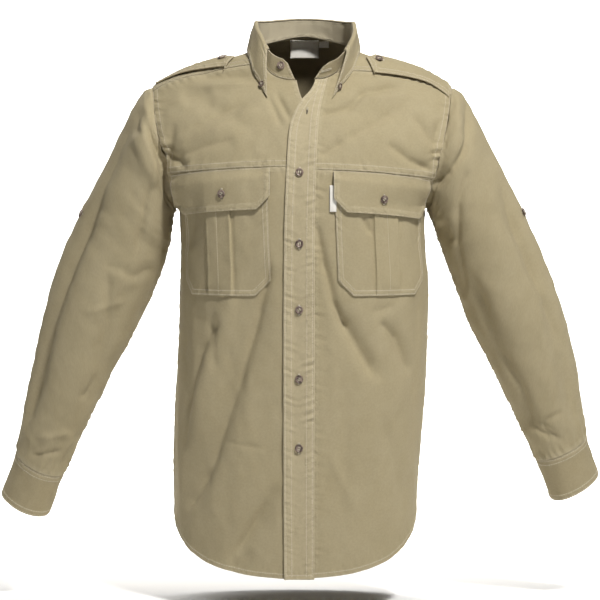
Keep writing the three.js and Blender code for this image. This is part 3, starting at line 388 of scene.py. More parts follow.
def on_body(angle, z, out=0):
    point = form_point(angle, z)
    normal = form_normal(angle, z)
    return point + normal * (out + body_relief(point, normal))[..., None]


def mirrored(place, side):
    angle, z = place
    return (angle, z) if side > 0 else (-math.pi - angle, z)


def front_at(x, z):
    """The place on the front that has this x when seen from the front."""
    n = body_power(z)
    across = np.clip((x - body_shift(z)) / body_width(z), -1, 1)
    y = -body_front(z) * (1 - np.abs(across) ** n) ** (1 / n)
    return np.arctan2(y, x - body_shift(z)), z + 0 * x


def round_at(distance, z):
    """The place at a distance round the body from the middle of the front."""
    distance, z = np.broadcast_arrays(np.asarray(distance, float), np.asarray(z, float))
    angles = -math.pi / 2 + 0.02 * np.arange(150)
    points = form_point(angles[:, None], z.reshape(1, -1))
    gone = np.vstack([np.zeros(z.size), np.cumsum(np.linalg.norm(np.diff(points, axis=0), axis=-1), axis=0)])
    flat = [np.interp(d, gone[:, i], angles) for i, d in enumerate(distance.reshape(-1))]
    return np.array(flat).reshape(z.shape), z


def hem_z(angle):
    around = (np.degrees(angle) + 450) % 180
    return hem_at(np.minimum(around, 180 - around))


def armhole_at(turn):
    """The armhole seam. turn is 0 at the shoulder, -90 degrees in front and 180 under the arm."""
    z = ARMHOLE_MIDDLE_Z + (ARMHOLE_TOP_Z - ARMHOLE_BOTTOM_Z) / 2 * np.cos(turn)
    n = body_power(z)
    x = armhole_x(z)
    deep = np.where(np.sin(turn) < 0, -body_front(z), body_back(z))
    y = deep * np.maximum(0, 1 - (x / body_width(z)) ** n) ** (1 / n)
    return np.arctan2(y, x), z


def armhole_turn(z):
    return float(np.arccos(np.clip((z - ARMHOLE_MIDDLE_Z) / ((ARMHOLE_TOP_Z - ARMHOLE_BOTTOM_Z) / 2), -1, 1)))


def from_above(x, y):
    """The place on the shoulders that has this x, from the body's middle line, and this y seen from above."""
    x, y = np.broadcast_arrays(np.asarray(x, float), np.asarray(y, float))
    low, high = np.full(x.shape, -110.0), np.full(x.shape, 35.9)
    for _ in range(40):
        z = (low + high) / 2
        deep = np.where(y < 0, body_front(z), body_back(z))
        n = body_power(z)
        outside = np.abs(x / body_width(z)) ** n + np.abs(y / deep) ** n - 1 > 0
        high, low = np.where(outside, z, high), np.where(outside, low, z)
    return np.arctan2(y, x), (low + high) / 2


def neck_at(plan, reach=0):
    c, s = np.cos(plan), np.sin(plan)
    deep = np.where(s < 0, NECK_FRONT, NECK_BACK)
    r = super_radius(c, s, NECK_HALF_WIDTH, deep, np.where(s < 0, NECK_POWER, 2)) + reach
    return from_above(r * c, r * s)


def neck_plan_at(x):
    across = (x - float(body_shift(0))) / NECK_HALF_WIDTH
    y = -NECK_FRONT * (1 - np.abs(across) ** NECK_POWER) ** (1 / NECK_POWER)
    return np.arctan2(y, across * NECK_HALF_WIDTH)


# Grids of places. A run is a pair of arrays: angles and heights.
def run_lengths(run):
    points = form_point(*run)
    return np.concatenate([[0], np.cumsum(np.linalg.norm(np.diff(points, axis=0), axis=-1))])


def spaced(path, shares):
    """Places along a path at these shares of its length."""
    fine = np.linspace(0, 1, 241)
    gone = run_lengths(path(fine))
    return path(np.interp(np.asarray(shares) * gone[-1], gone, fine))


def edged(length, step, first=0.9, reach=14):
    """Shares from 0 to 1 that lie close together by both ends, where the sewing is."""
    near = [0.0]
    pace = first
    while near[-1] < min(reach, length / 3):
        near.append(near[-1] + pace)
        pace = min(pace * 1.16, step)
    near = np.array(near) / length
    count = max(1, round((1 - 2 * near[-1]) * length / step))
    middle = np.linspace(near[-1], 1 - near[-1], count + 1)[1:-1]
    return np.concatenate([near, middle, (1 - near)[::-1]])


def filled(bottom, top, start, end, us, vs):
    """Fills the space between four runs."""
    grids = []
    for b, t, s, e in zip(bottom, top, start, end):
        u, v = us[None, :], vs[:, None]
        corners = lerp(lerp(b[0], b[-1], u), lerp(t[0], t[-1], u), v)
        grids.append(lerp(b[None, :], t[None, :], v) + lerp(s[:, None], e[:, None], u) - corners)
    return grids[0], grids[1]


def joined_path(*paths):
    """One path made of several, each with its share of the whole length."""
    fine = np.linspace(0, 1, 81)
    lengths = np.array([run_lengths(p(fine))[-1] for p in paths])
    stops = np.concatenate([[0], np.cumsum(lengths) / lengths.sum()])

    def path(t):
        t = np.asarray(t, float)
        angle, z = np.zeros(t.shape), np.zeros(t.shape)
        for i, part in enumerate(paths):
            inside = (t >= stops[i]) if i == len(paths) - 1 else (t >= stops[i]) & (t < stops[i + 1])
            local = np.clip((t[inside] - stops[i]) / (stops[i + 1] - stops[i]), 0, 1)
            angle[inside], z[inside] = part(local)
        return angle, z

    return path


# Stitch rows, as distances from the edge that they follow
FELLED_ROWS = (1.8, 8.6)
SLEEVE_HEAD_ROWS = (1.6, 8.0)
EDGE_ROWS = (1.8, 7.4)
PLACKET_ROWS = (3.0, 11.0)
HEM_ROW = 6.2
TAPE_ROW = 1.0
ROW_SPACING = 1.2

# How sewing shapes the cloth: rows of grooves, how far the sewn band reaches, its height, and the puckers'
# height, length and reach
SEWN = {
    "felled": (FELLED_ROWS, 9.8, 0.5, 1.15, 10, 13),
    "lapped": ((1.6, 8.0), 9.2, 0.4, 0.9, 10, 11),
    "under": ((), 6.5, -0.1, 0.9, 10, 12),
    "hem": ((HEM_ROW,), 7.2, 0.4, 1.0, 11, 12),
    "edge": (EDGE_ROWS, 8.4, 0.3, 0.7, 9, 10),
    "single": ((1.8,), 4.0, 0.2, 0.35, 6.5, 8),
    "placket": (PLACKET_ROWS, 12.0, 0.3, 0.95, 9.5, 12),
    "fold": ((), 1.0, 0.0, 0.0, 7.0, 3),
}
ALL_FOLDED = {"start": "fold", "end": "fold", "bottom": "fold", "top": "fold"}
EDGE_ROUNDING = 0.35
EDGE_LIFT = 0.12
GROOVE_DEPTH = 0.5


def lengths(points, axis):
    """Distance along a grid's rows or columns from their first point."""
    gone = np.cumsum(np.linalg.norm(np.diff(points, axis=axis), axis=-1), axis=axis)
    first = np.zeros_like(np.take(gone, [0], axis=axis))
    return np.concatenate([first, gone], axis=axis)


class Panel:
    """A piece of cloth as two grids of points, with its distance from each of its sides."""

    def __init__(self, outer, inner, normal, sewing, relief=0.0, ringed=False, seed=1, raised=0.0):
        self.ringed = ringed
        self.normal = normal
        closed = np.concatenate([outer, outer[:, :1]], axis=1) if ringed else outer
        across, up = lengths(closed, 1), lengths(outer, 0)
        self.wide = across[:, -1:]
        columns = outer.shape[1]
        across = across[:, :columns]
        self.away = {"start": across, "end": self.wide - across, "bottom": up, "top": up[-1:] - up}
        self.run = {"start": up[:, :1], "end": up[:, -1:], "bottom": across[:1], "top": across[-1:]}
        self.uv = np.stack([across - self.wide / 2, up], axis=-1) / 1000
        self.seam = np.zeros(across.shape)
        self.rim = np.zeros(across.shape)
        extra = np.zeros(across.shape) + raised
        both = np.zeros(across.shape) + relief
        for number, (side, style) in enumerate(sewing.items()):
            rows, reach, band, pucker, length, decay = SEWN[style]
            away, run = self.away[side], self.run[side] + 0 * self.away[side]
            edge = np.exp(-away / 0.5)
            extra -= EDGE_ROUNDING * edge
            both += EDGE_LIFT * edge
            flat = 1 - smooth((away - reach) / 1.2)
            extra += band * flat
            self.seam = np.maximum(self.seam, 1 - smooth((away - reach + 1) / 3))
            self.rim = np.maximum(self.rim, np.exp(-away / 1.3))
            for row in rows:
                pull = 0.75 + 0.35 * ripples(run, 3.1, seed * 7 + number)
                extra -= GROOVE_DEPTH * pull * np.exp(-((away - row) ** 2))
                self.rim = np.maximum(self.rim, 0.45 * np.exp(-(((away - row) / 0.8) ** 2)))
            if pucker:
                middle = reach * 0.45
                strength = np.exp(-((np.maximum(away - middle, 0) / decay) ** 2))
                strength *= 0.35 + 0.65 * smooth(away / 2.5)
                gathers = ripples(run + 0.35 * away, length, seed * 11 + number)
                sharp = np.sign(gathers) * np.abs(gathers) ** 0.8
                varied = 0.7 + 0.5 * ripples(run, length * 6, seed * 13 + number)
                extra += pucker * strength * sharp * varied
        self.outer = outer + normal * (both + extra)[..., None]
        self.inner = inner + normal * both[..., None]

    def at(self, row, column):
        """The outer face's points and normals at these places of the grid."""
        rows, columns = self.outer.shape[:2]
        row = np.clip(row, 0, rows - 1.001)
        j = row.astype(int)
        if self.ringed:
            i = np.floor(column).astype(int)
            share = (column - i)[..., None]
            i, following = i % columns, (i + 1) % columns
        else:
            column = np.clip(column, 0, columns - 1.001)
            i = column.astype(int)
            share = (column - i)[..., None]
            following = i + 1
        v = (row - j)[..., None]
        result = []
        for grid in (self.outer, self.normal):
            low = lerp(grid[j, i], grid[j, following], share)
            high = lerp(grid[j + 1, i], grid[j + 1, following], share)
            result.append(lerp(low, high, v))
        return result[0], unit(result[1])

    def line(self, side, distance, skip=(0, 0)):
        """Points and normals along a line that keeps this distance from a side."""
        away = self.away[side]
        rows, columns = away.shape
        if side in ("bottom", "top"):
            column = np.arange(columns, dtype=float)
            pick = [np.interp(distance, *ordered(away[:, i])) for i in range(columns)]
            row = np.array(pick)
            run = self.run[side][0]
            if self.ringed:
                row, column = np.append(row, row[0]), np.append(column, columns)
                run = np.append(run, float(self.wide[0 if side == "bottom" else -1, 0]))
        else:
            row = np.arange(rows, dtype=float)
            column = np.array([np.interp(distance, *ordered(away[j])) for j in range(rows)])
            run = self.run[side][:, 0]
        keep = (run >= skip[0]) & (run <= run[-1] - skip[1])
        return self.at(row[keep], column[keep])

    def nearest(self, point):
        """The grid place whose outer point is nearest a point."""
        flat = np.argmin(np.linalg.norm(self.outer - np.array(point), axis=-1))
        return np.unravel_index(flat, self.outer.shape[:2])


def ordered(values):
    """A side's distances in rising order, with their grid numbers."""
    numbers = np.arange(len(values), dtype=float)
    return (values, numbers) if values[-1] > values[0] else (values[::-1], numbers[::-1])


def body_panel(grid, thickness, sewing, out=None, seed=1, raised=0.0):
    """A panel laid on the body. out is how far its inner face lies off the body."""
    angle, z = grid
    point, normal = form_point(angle, z), form_normal(angle, z)
    inner = point + normal * (np.zeros(angle.shape) + (-thickness if out is None else out))[..., None]
    outer = inner + normal * thickness
    return Panel(outer, inner, normal, sewing, body_relief(point, normal), seed=seed, raised=raised)


# Seams that more than one panel shares
def side_seam(gap):
    def path(t):
        z = lerp(float(hem_z(0.0)), ARMHOLE_BOTTOM_Z, t)
        return gap / body_width(z), z

    return path


def armhole_run(from_turn, to_turn):
    def path(t):
        angle, z = armhole_at(lerp(from_turn, to_turn, np.asarray(t, float)))
        short = SEAM_GAP / 2 / body_width(z)
        return angle + np.sign(angle) * short * np.clip(np.abs(angle) / 0.3, 0, 1), z

    return path


def flipped(path, side):
    return lambda t: mirrored(path(t), side)


def chest_seam(hang, gap):
    return lambda x: lerp(hang["chest_middle"], hang["chest_end"], (np.abs(x) / 190) ** 2) + gap


def front_edge_x(hang, z):
    return placket_seam(z) - 2.5 if hang["side"] > 0 else under_edge(z)


def front_edge(hang, z1, z2):
    def path(t):
        z = lerp(z1, z2, np.asarray(t, float))
        return front_at(front_edge_x(hang, z), z)

    return path


def chest_run(hang, gap):
    """A front's edge along its chest seam, from the opening to the armhole."""
    seam = chest_seam(hang, gap)
    corner_z = hang["chest_end"] + gap
    turn = -armhole_turn(corner_z)
    edge = float(front_edge_x(hang, seam(0)))
    end = float(body_shift(corner_z) + hang["side"] * armhole_x(corner_z))
    last = mirrored(armhole_run(turn, 0)(np.array([0.0])), hang["side"])

    def path(t):
        x = lerp(edge, end, np.asarray(t, float))
        angle, z = front_at(x, seam(x * 0.96))
        at_end = np.asarray(t) >= 1
        return np.where(at_end, last[0], angle), np.where(at_end, last[1], z)

    return path, turn


def lower_front(name):
    hang = SIDES[name]
    side = hang["side"]
    top, turn = chest_run(hang, -SEAM_GAP / 2)
    edge_hem = float(front_at(front_edge_x(hang, -738.0), -738.0)[0])
    side_hem = mirrored((-SEAM_GAP / 2 / 174, 0), side)[0]

    def bottom(t):
        angle = lerp(edge_hem, side_hem, t)
        return angle, hem_z(angle)

    start = front_edge(hang, float(bottom(0)[1]), float(top(np.array([0.0]))[1][0]))
    end = joined_path(flipped(side_seam(-SEAM_GAP / 2), side), flipped(armhole_run(-math.pi, turn), side))
    us, vs = edged(235, 2.6), edged(560, 2.7)
    grid = filled(spaced(bottom, us), spaced(top, us), spaced(start, vs), spaced(end, vs), us, vs)
    first = "under" if side > 0 else "single"
    return body_panel(grid, CLOTH, {"bottom": "hem", "top": "under", "start": first, "end": "felled"}, seed=3)


def yoke_seam(hang, gap):
    plan = math.radians(hang["yoke_neck"])
    ends = []
    for place in (neck_at(plan), armhole_at(-armhole_turn(hang["yoke_tip"]))):
        point = form_point(*place)
        ends.append((float(point[0] - body_shift(place[1])), float(point[1])))
    (x1, y1), (x2, y2) = ends
    return lambda t: from_above(lerp(x1, x2 - 0.3, t), lerp(y1, y2, t) - gap), plan


def upper_front(name):
    hang = SIDES[name]
    side = hang["side"]
    bottom, turn = chest_run(hang, SEAM_GAP / 2)
    seam, yoke_plan = yoke_seam(hang, SEAM_GAP)
    if side > 0:
        plan = float(neck_plan_at(placket_seam(-22) - 2.5))
    else:
        plan = float(-neck_plan_at(under_edge(-36)) - math.pi)
    edge = front_edge(hang, float(bottom(np.array([0.0]))[1][0]), float(neck_at(plan)[1]))
    neck = flipped(lambda t: neck_at(lerp(plan, yoke_plan, t)), side)
    start = joined_path(edge, neck)
    end = flipped(armhole_run(turn, -armhole_turn(hang["yoke_tip"])), side)
    us, vs = edged(170, 2.4), edged(150, 2.4)
    runs = [spaced(bottom, us), spaced(flipped(seam, side), us), spaced(start, vs), spaced(end, vs)]
    for key in (0, 1):
        runs[2][key][-1] = runs[1][key][0]
        runs[3][key][-1] = runs[1][key][-1]
    grid = filled(*runs, us, vs)
    sewing = {"bottom": "felled", "top": "under", "start": "under", "end": "felled"}
    return body_panel(grid, CLOTH, sewing, seed=4)


def back():
    seam_z = YOKE_BACK_Z - SEAM_GAP / 2
    turn = armhole_turn(seam_z)
    short = SEAM_GAP / 2 / 174
    left = joined_path(side_seam(SEAM_GAP / 2), armhole_run(math.pi, turn))

    def right(t):
        angle, z = left(t)
        return math.pi - angle, z

    def bottom(t):
        angle = lerp(short, math.pi - short, t)
        return angle, hem_z(angle)

    first = float(left(np.array([1.0]))[0][0])

    def top(t):
        return lerp(first, math.pi - first, t), seam_z + 0 * t

    us, vs = edged(520, 5), edged(600, 5)
    grid = filled(spaced(bottom, us), spaced(top, us), spaced(left, vs), spaced(right, vs), us, vs)
    sewing = {"bottom": "hem", "top": "under", "start": "under", "end": "under"}
    return body_panel(grid, CLOTH, sewing, seed=5)


def yoke():
    halves = []
    for name in ("left", "right"):
        hang = SIDES[name]
        seam, plan = yoke_seam(hang, 0)
        neck = (lambda p: lambda t: neck_at(lerp(p, math.pi / 2, t)))(plan)
        arm = armhole_run(-armhole_turn(hang["yoke_tip"]), armhole_turn(YOKE_BACK_Z))
        halves.append((seam, neck, arm))

    def other(path, backwards=True):
        def run(t):
            angle, z = path(1 - t if backwards else t)
            return math.pi - angle, z

        return run

    corner = float(halves[0][2](np.array([1.0]))[0][0])

    def across(t):
        return lerp(corner, math.pi - corner, np.asarray(t, float)), YOKE_BACK_Z + 0 * np.asarray(t, float)

    inner = joined_path(halves[0][1], other(halves[1][1]))
    outer = joined_path(halves[0][2], across, other(halves[1][2]))
    us, vs = edged(640, 3.6), edged(110, 3.4)
    left_seam, right_seam = halves[0][0], other(halves[1][0], False)
    runs = [spaced(inner, us), spaced(outer, us), spaced(left_seam, vs), spaced(right_seam, vs)]
    for key in (0, 1):
        runs[0][key][0], runs[1][key][0] = runs[2][key][0], runs[2][key][-1]
        runs[0][key][-1], runs[1][key][-1] = runs[3][key][0], runs[3][key][-1]
    grid = filled(*runs, us, vs)
    sewing = {"bottom": "under", "top": "felled", "start": "lapped", "end": "lapped"}
    return body_panel(grid, CLOTH, sewing, seed=6)


def placket():
    def high(x):
        return neck_at(neck_plan_at(np.clip(x, 20, 50)))[1] - 0.6

    low = float(hem_z(-math.pi / 2)) + 0.3
    us, vs = edged(43, 2.4, 0.8, 8)[None, :], edged(715, 2.2, 0.9, 6)[:, None]
    guess = lerp(low, float(high(0)), vs)
    x = lerp(placket_free(guess), placket_seam(guess), us)
    z = lerp(low, high(x), vs)
    grid = front_at(lerp(placket_free(z), placket_seam(z), us), z)
    hanging = 1.3 + 1.5 * smooth((-280 - z) / 200)
    loose = hanging * (1 - smooth(us / 0.35)) * (0.75 + 0.35 * ripples(z, 60, 32))
    out = LAY_GAP + placket_lift(z) * (1 - us) + loose
    sewing = {"start": "placket", "end": "placket", "bottom": "hem", "top": "fold"}
    return body_panel(grid, CLOTH, sewing, out, seed=8)


# Pockets and flaps
def pocket_bottom(distance):
    from_side = np.minimum(distance - POCKET["inner"], POCKET["outer"] - distance)
    return POCKET["bottom"] + np.maximum(0, POCKET["clip"] - from_side)


def pocket(name):
    hang = SIDES[name]
    inner, outer = POCKET["inner"], POCKET["outer"]
    middle, half = (inner + outer) / 2, PLEAT["half_width"]
    near = edged(middle - half - inner, 2.6, 0.7, 9) * (middle - half - inner)
    fold = np.array([0, 0.25, 0.5, 0.8, 1.2, 2, 3.2, 5, 7, 9.5, 12, 14.5, 17])
    left = np.concatenate([inner + near[:-1], middle - half + fold])
    columns = np.concatenate([left, [middle], (2 * middle - left)[::-1]])
    vs = edged(165, 2.8, 0.7, 9)
    top = float(chest_seam(hang, 0)(120)) - POCKET["top_drop"]
    distance = columns[None, :] + 0 * vs[:, None]
    z = lerp(pocket_bottom(columns)[None, :], top, vs[:, None])
    angle, z = mirrored(round_at(distance, z), hang["side"])
    away = half - np.abs(distance - middle)
    proud = (PLEAT["raise"] + PLEAT["full"]) * smooth(away / 0.5 + 0.5)
    proud += 0.6 * np.exp(-(((away - 1.6) / 1.6) ** 2))
    proud -= 0.8 * np.exp(-(((away + 3) / 2.4) ** 2))
    proud += 0.35 * ripples(z, 17, 31) * np.exp(-((away / 4) ** 2))
    proud -= 0.7 * np.exp(-((np.abs(distance - middle) / 1.1) ** 2)) * smooth((z + 262) / 4)
    proud *= 0.25 + 0.75 * smooth((z - pocket_bottom(distance)) / 16)
    sewing = {"start": "edge", "end": "edge", "bottom": "edge", "top": "fold"}
    seed = 12 if hang["side"] > 0 else 13
    panel = body_panel((angle, z), CLOTH, sewing, POCKET_GAP, seed=seed, raised=proud)
    panel.columns, panel.vs = columns, vs
    panel.low, panel.high = pocket_bottom(columns), top + 0 * columns
    return panel


def flap(name):
    hang = SIDES[name]
    inner, outer, clip = FLAP["inner"], FLAP["outer"], FLAP["clip"]
    columns = inner + edged(outer - inner, 2.6, 0.7, 9) * (outer - inner)
    vs = edged(FLAP["height"], 2.4, 0.7, 9)
    from_side = np.minimum(columns - inner, outer - columns)
    long = FLAP["height"] - np.maximum(0, clip - from_side)
    top = chest_seam(hang, -1.2)(columns * 0.96)
    z = top[None, :] - long[None, :] * vs[:, None]
    distance = columns[None, :] + 0 * z
    angle, z = mirrored(round_at(distance, z), hang["side"])
    flare = FLAP["flare"] if hang["side"] < 0 else 2
    share = (distance - inner) / (outer - inner)
    v = vs[:, None]
    over = CLOTH + PLEAT["raise"] + PLEAT["full"] + POCKET_GAP
    out = POCKET_GAP + smooth(v * 3.6) * over + flare * smooth((share - 0.7) / 0.3) * v
    pleat = POCKET["inner"] / 2 + POCKET["outer"] / 2 - distance
    out = out + 0.7 * smooth(v * 3) * (1 - smooth((np.abs(pleat) - 16) / 8)) + 0.5 * v * v
    sewing = {"start": "edge", "end": "edge", "top": "edge", "bottom": "fold"}
    panel = body_panel((angle, z), CLOTH, sewing, out, seed=14 if hang["side"] > 0 else 15)
    panel.columns, panel.vs = columns, vs
    panel.low, panel.high = top, top - long
    return panel


def on_patch(panel, distance, z):
    """Points and normals of a pocket or flap at these distances and heights."""
    low, high = np.interp(distance, panel.columns, panel.low), np.interp(distance, panel.columns, panel.high)
    share = np.clip((z - low) / (high - low), 0, 1)
    row = np.interp(share, panel.vs, np.arange(len(panel.vs)))
    column = np.interp(distance, panel.columns, np.arange(len(panel.columns)))
    return panel.at(row, column)


def pocket_tag():
    inner, outer, z1, z2 = POCKET_TAG
    us, vs = np.linspace(0, 1, 13)[None, :], np.linspace(0, 1, 31)[:, None]
    grid = round_at(lerp(inner, outer, us + 0 * vs), lerp(z1, z2, vs + 0 * us))
    out = lerp(2.2, 2.35, us) - 0.5 * (1 - smooth(us / 0.5)) + 0.5 * np.sin(vs * math.pi) * smooth(us)
    return body_panel(grid, TAPE, ALL_FOLDED, out, seed=16)


def strap(name):
    hang = SIDES[name]
    us, vs = edged(39, 2.2, 0.6, 8)[None, :], edged(125, 2.4, 0.7, 8)[:, None]
    front = lerp(hang["strap_at_arm"], hang["strap_at_point"], vs)
    y = front + us * (STRAP["width"] - STRAP["narrowing"] * vs)
    cut = np.maximum(0, vs - 0.9) / 0.1 * STRAP["point"] * np.abs(us - 0.5) * 2
    angle, z = mirrored(from_above(lerp(STRAP["start"], hang["strap_point"], vs) + cut, y), hang["side"])
    out = POCKET_GAP + 1.4 * smooth(vs * 3) * (1 + np.sin(math.pi * vs)) + 0 * us
    sewing = {"start": "edge", "end": "edge", "top": "edge", "bottom": "fold"}
    return body_panel((angle, z), DOUBLE_CLOTH, sewing, out, seed=17 if hang["side"] > 0 else 18)


# Sleeves
SLEEVE_TUCK = 1.0
SLEEVE_TRACKS = {
    name: [track([(i, *row) for i, row in enumerate(rows)], c) for c in range(1, 8)]
    for name, rows in SLEEVES.items()
}


def sleeve_point(name, at, turn, inward=0.0):
    """A sleeve's outer face. at counts its rings, and turn is 0 on the outside and 180 degrees underneath."""
    outer_x, outer_z, inner_x, inner_z, depth, behind, droop = (read(at) for read in SLEEVE_TRACKS[name])
    droop = np.radians(droop)
    middle = xyz((outer_x + inner_x) / 2, behind, (outer_z + inner_z) / 2)
    half = xyz((outer_x - inner_x) / 2, 0 * behind, (outer_z - inner_z) / 2)
    across = np.linalg.norm(half, axis=-1)
    deep = xyz(0 * droop, np.cos(droop), np.sin(droop))
    point = middle + half * (np.cos(turn) * (across - inward) / across)[..., None]
    point = point + deep * (np.sin(turn) * (depth - inward))[..., None]
    angle, z = armhole_at(turn)
    start = form_point(angle, z)
    start[..., 0] -= SLEEVE_TUCK + body_shift(z)
    centre = xyz(start[..., 0], 0, ARMHOLE_MIDDLE_Z)
    start = start + unit(centre - start) * (inward + 0 * turn)[..., None]
    share = smooth(at)[..., None]
    blended = lerp(start, point, share)
    shift = body_shift(ARMHOLE_BOTTOM_Z) * (1 - smooth(at))
    return xyz(SIDES[name]["side"] * blended[..., 0] + shift, blended[..., 1], blended[..., 2])


def tube_normal(name, at, turn):
    along = sleeve_point(name, at + 0.02, turn) - sleeve_point(name, at - 0.02, turn)
    around = sleeve_point(name, at, turn + 0.01) - sleeve_point(name, at, turn - 0.01)
    return unit(np.cross(around, along)) * -SIDES[name]["side"]


def sleeve_relief(name, at, turn, point):
    side = SIDES[name]["side"]
    calm = smooth(at / 1.6) * smooth((CUFF_SEAM_ROW - at) / 0.6)
    facing = np.sin(turn)
    folds = FOLD_DEPTH * fold_height(SLEEVE_FOLDS, side, point, facing) * calm
    near = smooth(at / 0.35) * smooth((CUFF_SEAM_ROW - at) / 0.4)
    creases = CREASE_DEPTH * fold_height(SLEEVE_CREASES[name], side, point, facing, 1.5) * near
    tube = xyz(np.cos(turn) * 50, np.sin(turn) * 50, at * SLEEVE_RING_SPACING)
    slack = waves(tube, 44, 21 + side, stretch=(1, 1, 0.8))
    small = waves(tube, 20, 23 + side, stretch=(0.7, 0.7, 1.3))
    gathers = 1.4 * ripples(np.degrees(turn) * 0.9, 17, 25 + side)
    gathers *= np.exp(-np.abs(CUFF_SEAM_ROW - at) / 0.55)
    angle, z = mirrored(armhole_at(turn), side)
    seam_point, seam_normal = form_point(angle, z), form_normal(angle, z)
    joined = (body_relief(seam_point, seam_normal) - 0.15) * (1 - smooth(at / 0.7))
    loose = (1.3 * slack + 0.6 * small) * near
    return joined + folds + creases + loose + gathers * smooth((CUFF_SEAM_ROW - at) / 0.12)


def sleeve(name):
    side = SIDES[name]["side"]
    ats = np.interp(edged(560, 4, 0.9, 14), *sleeve_spacing(name))[:, None]
    turns = (math.pi + np.linspace(0, 2 * math.pi, 157)[:-1])[None, :]
    at, turn = ats + 0 * turns, turns + 0 * ats
    outer, inner = sleeve_point(name, at, turn), sleeve_point(name, at, turn, CLOTH)
    relief = sleeve_relief(name, at, turn, outer)
    sewing = {"bottom": "under", "top": "under", "start": "felled", "end": "fold"}
    return Panel(outer, inner, tube_normal(name, at, turn), sewing, relief, ringed=True, seed=20 + side)


def sleeve_spacing(name):
    """Shares of a sleeve's length and the table rows they fall on."""
    at = np.linspace(0, CUFF_SEAM_ROW, 81)
    middle = (sleeve_point(name, at, 0 * at) + sleeve_point(name, at, 0 * at + math.pi)) / 2
    gone = np.concatenate([[0], np.cumsum(np.linalg.norm(np.diff(middle, axis=0), axis=-1))])
    return gone / gone[-1], at


def cuff(name):
    side = SIDES[name]["side"]
    lap = math.radians(CUFF_LAP_DEGREES)
    shares = edged(300, 2.8, 0.7, 8)[None, :]
    turns = math.radians(CUFF_LAP_AT_DEGREES) - lap / 2 + shares * (2 * math.pi + lap)
    ats = lerp(CUFF_SEAM_ROW + 0.012, CUFF_SEAM_ROW + 1, edged(66, 2.6, 0.7, 8))[:, None]
    out = 2.7 * smooth((shares - 0.86) / 0.08) - 0.8
    at, turn = ats + 0 * turns, turns + 0 * ats
    outer = sleeve_point(name, at, turn, -out + 0 * at)
    inner = sleeve_point(name, at, turn, DOUBLE_CLOTH - out + 0 * at)
    relief = 0.7 * waves(outer, 26, 41) * smooth((at - CUFF_SEAM_ROW) * 6)
    sewing = {"bottom": "edge", "top": "edge", "start": "edge", "end": "edge"}
    return Panel(outer, inner, tube_normal(name, at, turn), sewing, relief, seed=26 + side)


# Collar
def neck_ends(key):
    """Where the collar's stand or fold ends, on the wearer's left and right, as turns round the neck."""
    left, right = (float(neck_plan_at(SIDES[name][key])) for name in ("left", "right"))
    return left, 2 * math.pi + right


STAND_ENDS = neck_ends("stand_end")
FOLD_ENDS = neck_ends("fold_end")
LEAF_TIPS = (math.radians(SIDES["left"]["leaf_tip"]), math.radians(SIDES["right"]["leaf_tip"]))


def stand_point(plan, v, inward=0.0):
    """The stand's outer face. plan goes round the neck, and v from its seam to its top."""
    seam = form_point(*neck_at(plan))
    turn = np.degrees(plan)
    out = stand_out(turn) * v - inward
    return seam + xyz(np.cos(plan) * out, np.sin(plan) * out, stand_up(turn) * v)


def grid_normal(points, centre):
    """Normals of a grid that face away from a point."""
    across, up = np.gradient(points, axis=1), np.gradient(points, axis=0)
    normal = unit(np.cross(across, up))
    return normal * np.sign(np.sum(normal * (points - np.array(centre)), axis=-1).mean())


def stand():
    slant = math.radians(STAND_SLANT)
    us, vs = edged(400, 2.8, 0.7, 8)[None, :], lerp(0.02, 1, edged(30, 2.2, 0.6, 7))[:, None]
    cornered = 0.16 * (1 - smooth(np.minimum(us, 1 - us) / 0.02)) * vs
    plan = lerp(STAND_ENDS[0] + slant * vs, STAND_ENDS[1] - slant * vs, us)
    outer = stand_point(plan, vs - cornered, 0.2)
    inner = stand_point(plan, vs - cornered, 0.2 + DOUBLE_CLOTH)
    normal = grid_normal(outer, (3, 0, 20))
    relief = 0.45 * waves(outer, 24, 51) + 0.9 * ripples(plan * 66, 26, 52) * np.maximum(np.sin(plan), 0)
    sewing = {"bottom": "single", "top": "fold", "start": "single", "end": "single"}
    return Panel(outer, inner, normal, sewing, relief * smooth(vs / 0.3), seed=31)


leaf_out, leaf_rise = track(LEAF_FOLD, 1), track(LEAF_FOLD, 2)
leaf_out_in, leaf_rise_in = track(LEAF_FOLD_IN, 1), track(LEAF_FOLD_IN, 2)


def leaf_point(t, v, inward=0.0):
    """The leaf turns over the top of the stand and falls outside it. t goes round and v down."""
    t, v = np.broadcast_arrays(np.asarray(t, float), np.asarray(v, float))
    plan = lerp(FOLD_ENDS[0], FOLD_ENDS[1], t)
    outward = xyz(np.cos(plan), np.sin(plan), 0 * plan)
    top = stand_point(plan, 1.0 + 0 * plan)
    up = np.array([0.0, 0.0, 1.0])
    out_turn = leaf_out(v) - inward * leaf_out_in(v)
    rise_turn = leaf_rise(v) - inward * leaf_rise_in(v)
    turned = top + outward * out_turn[..., None] + up * rise_turn[..., None]
    angle, z = neck_at(lerp(LEAF_TIPS[0], LEAF_TIPS[1], t), leaf_reach(np.abs(t * 2 - 1)))
    edge = on_body(angle, z, POCKET_GAP + 0.4 + DOUBLE_CLOTH - inward + 0 * t)
    start = top + outward * (4.6 - inward) - up * 1.5
    bend = lerp(start, edge, 0.5) + outward * 2
    down = (np.maximum(v - 0.2, 0) / 0.8)[..., None]
    fallen = start * (1 - down) ** 2 + bend * 2 * down * (1 - down) + edge * down**2
    return np.where((v <= 0.2)[..., None], turned, fallen)


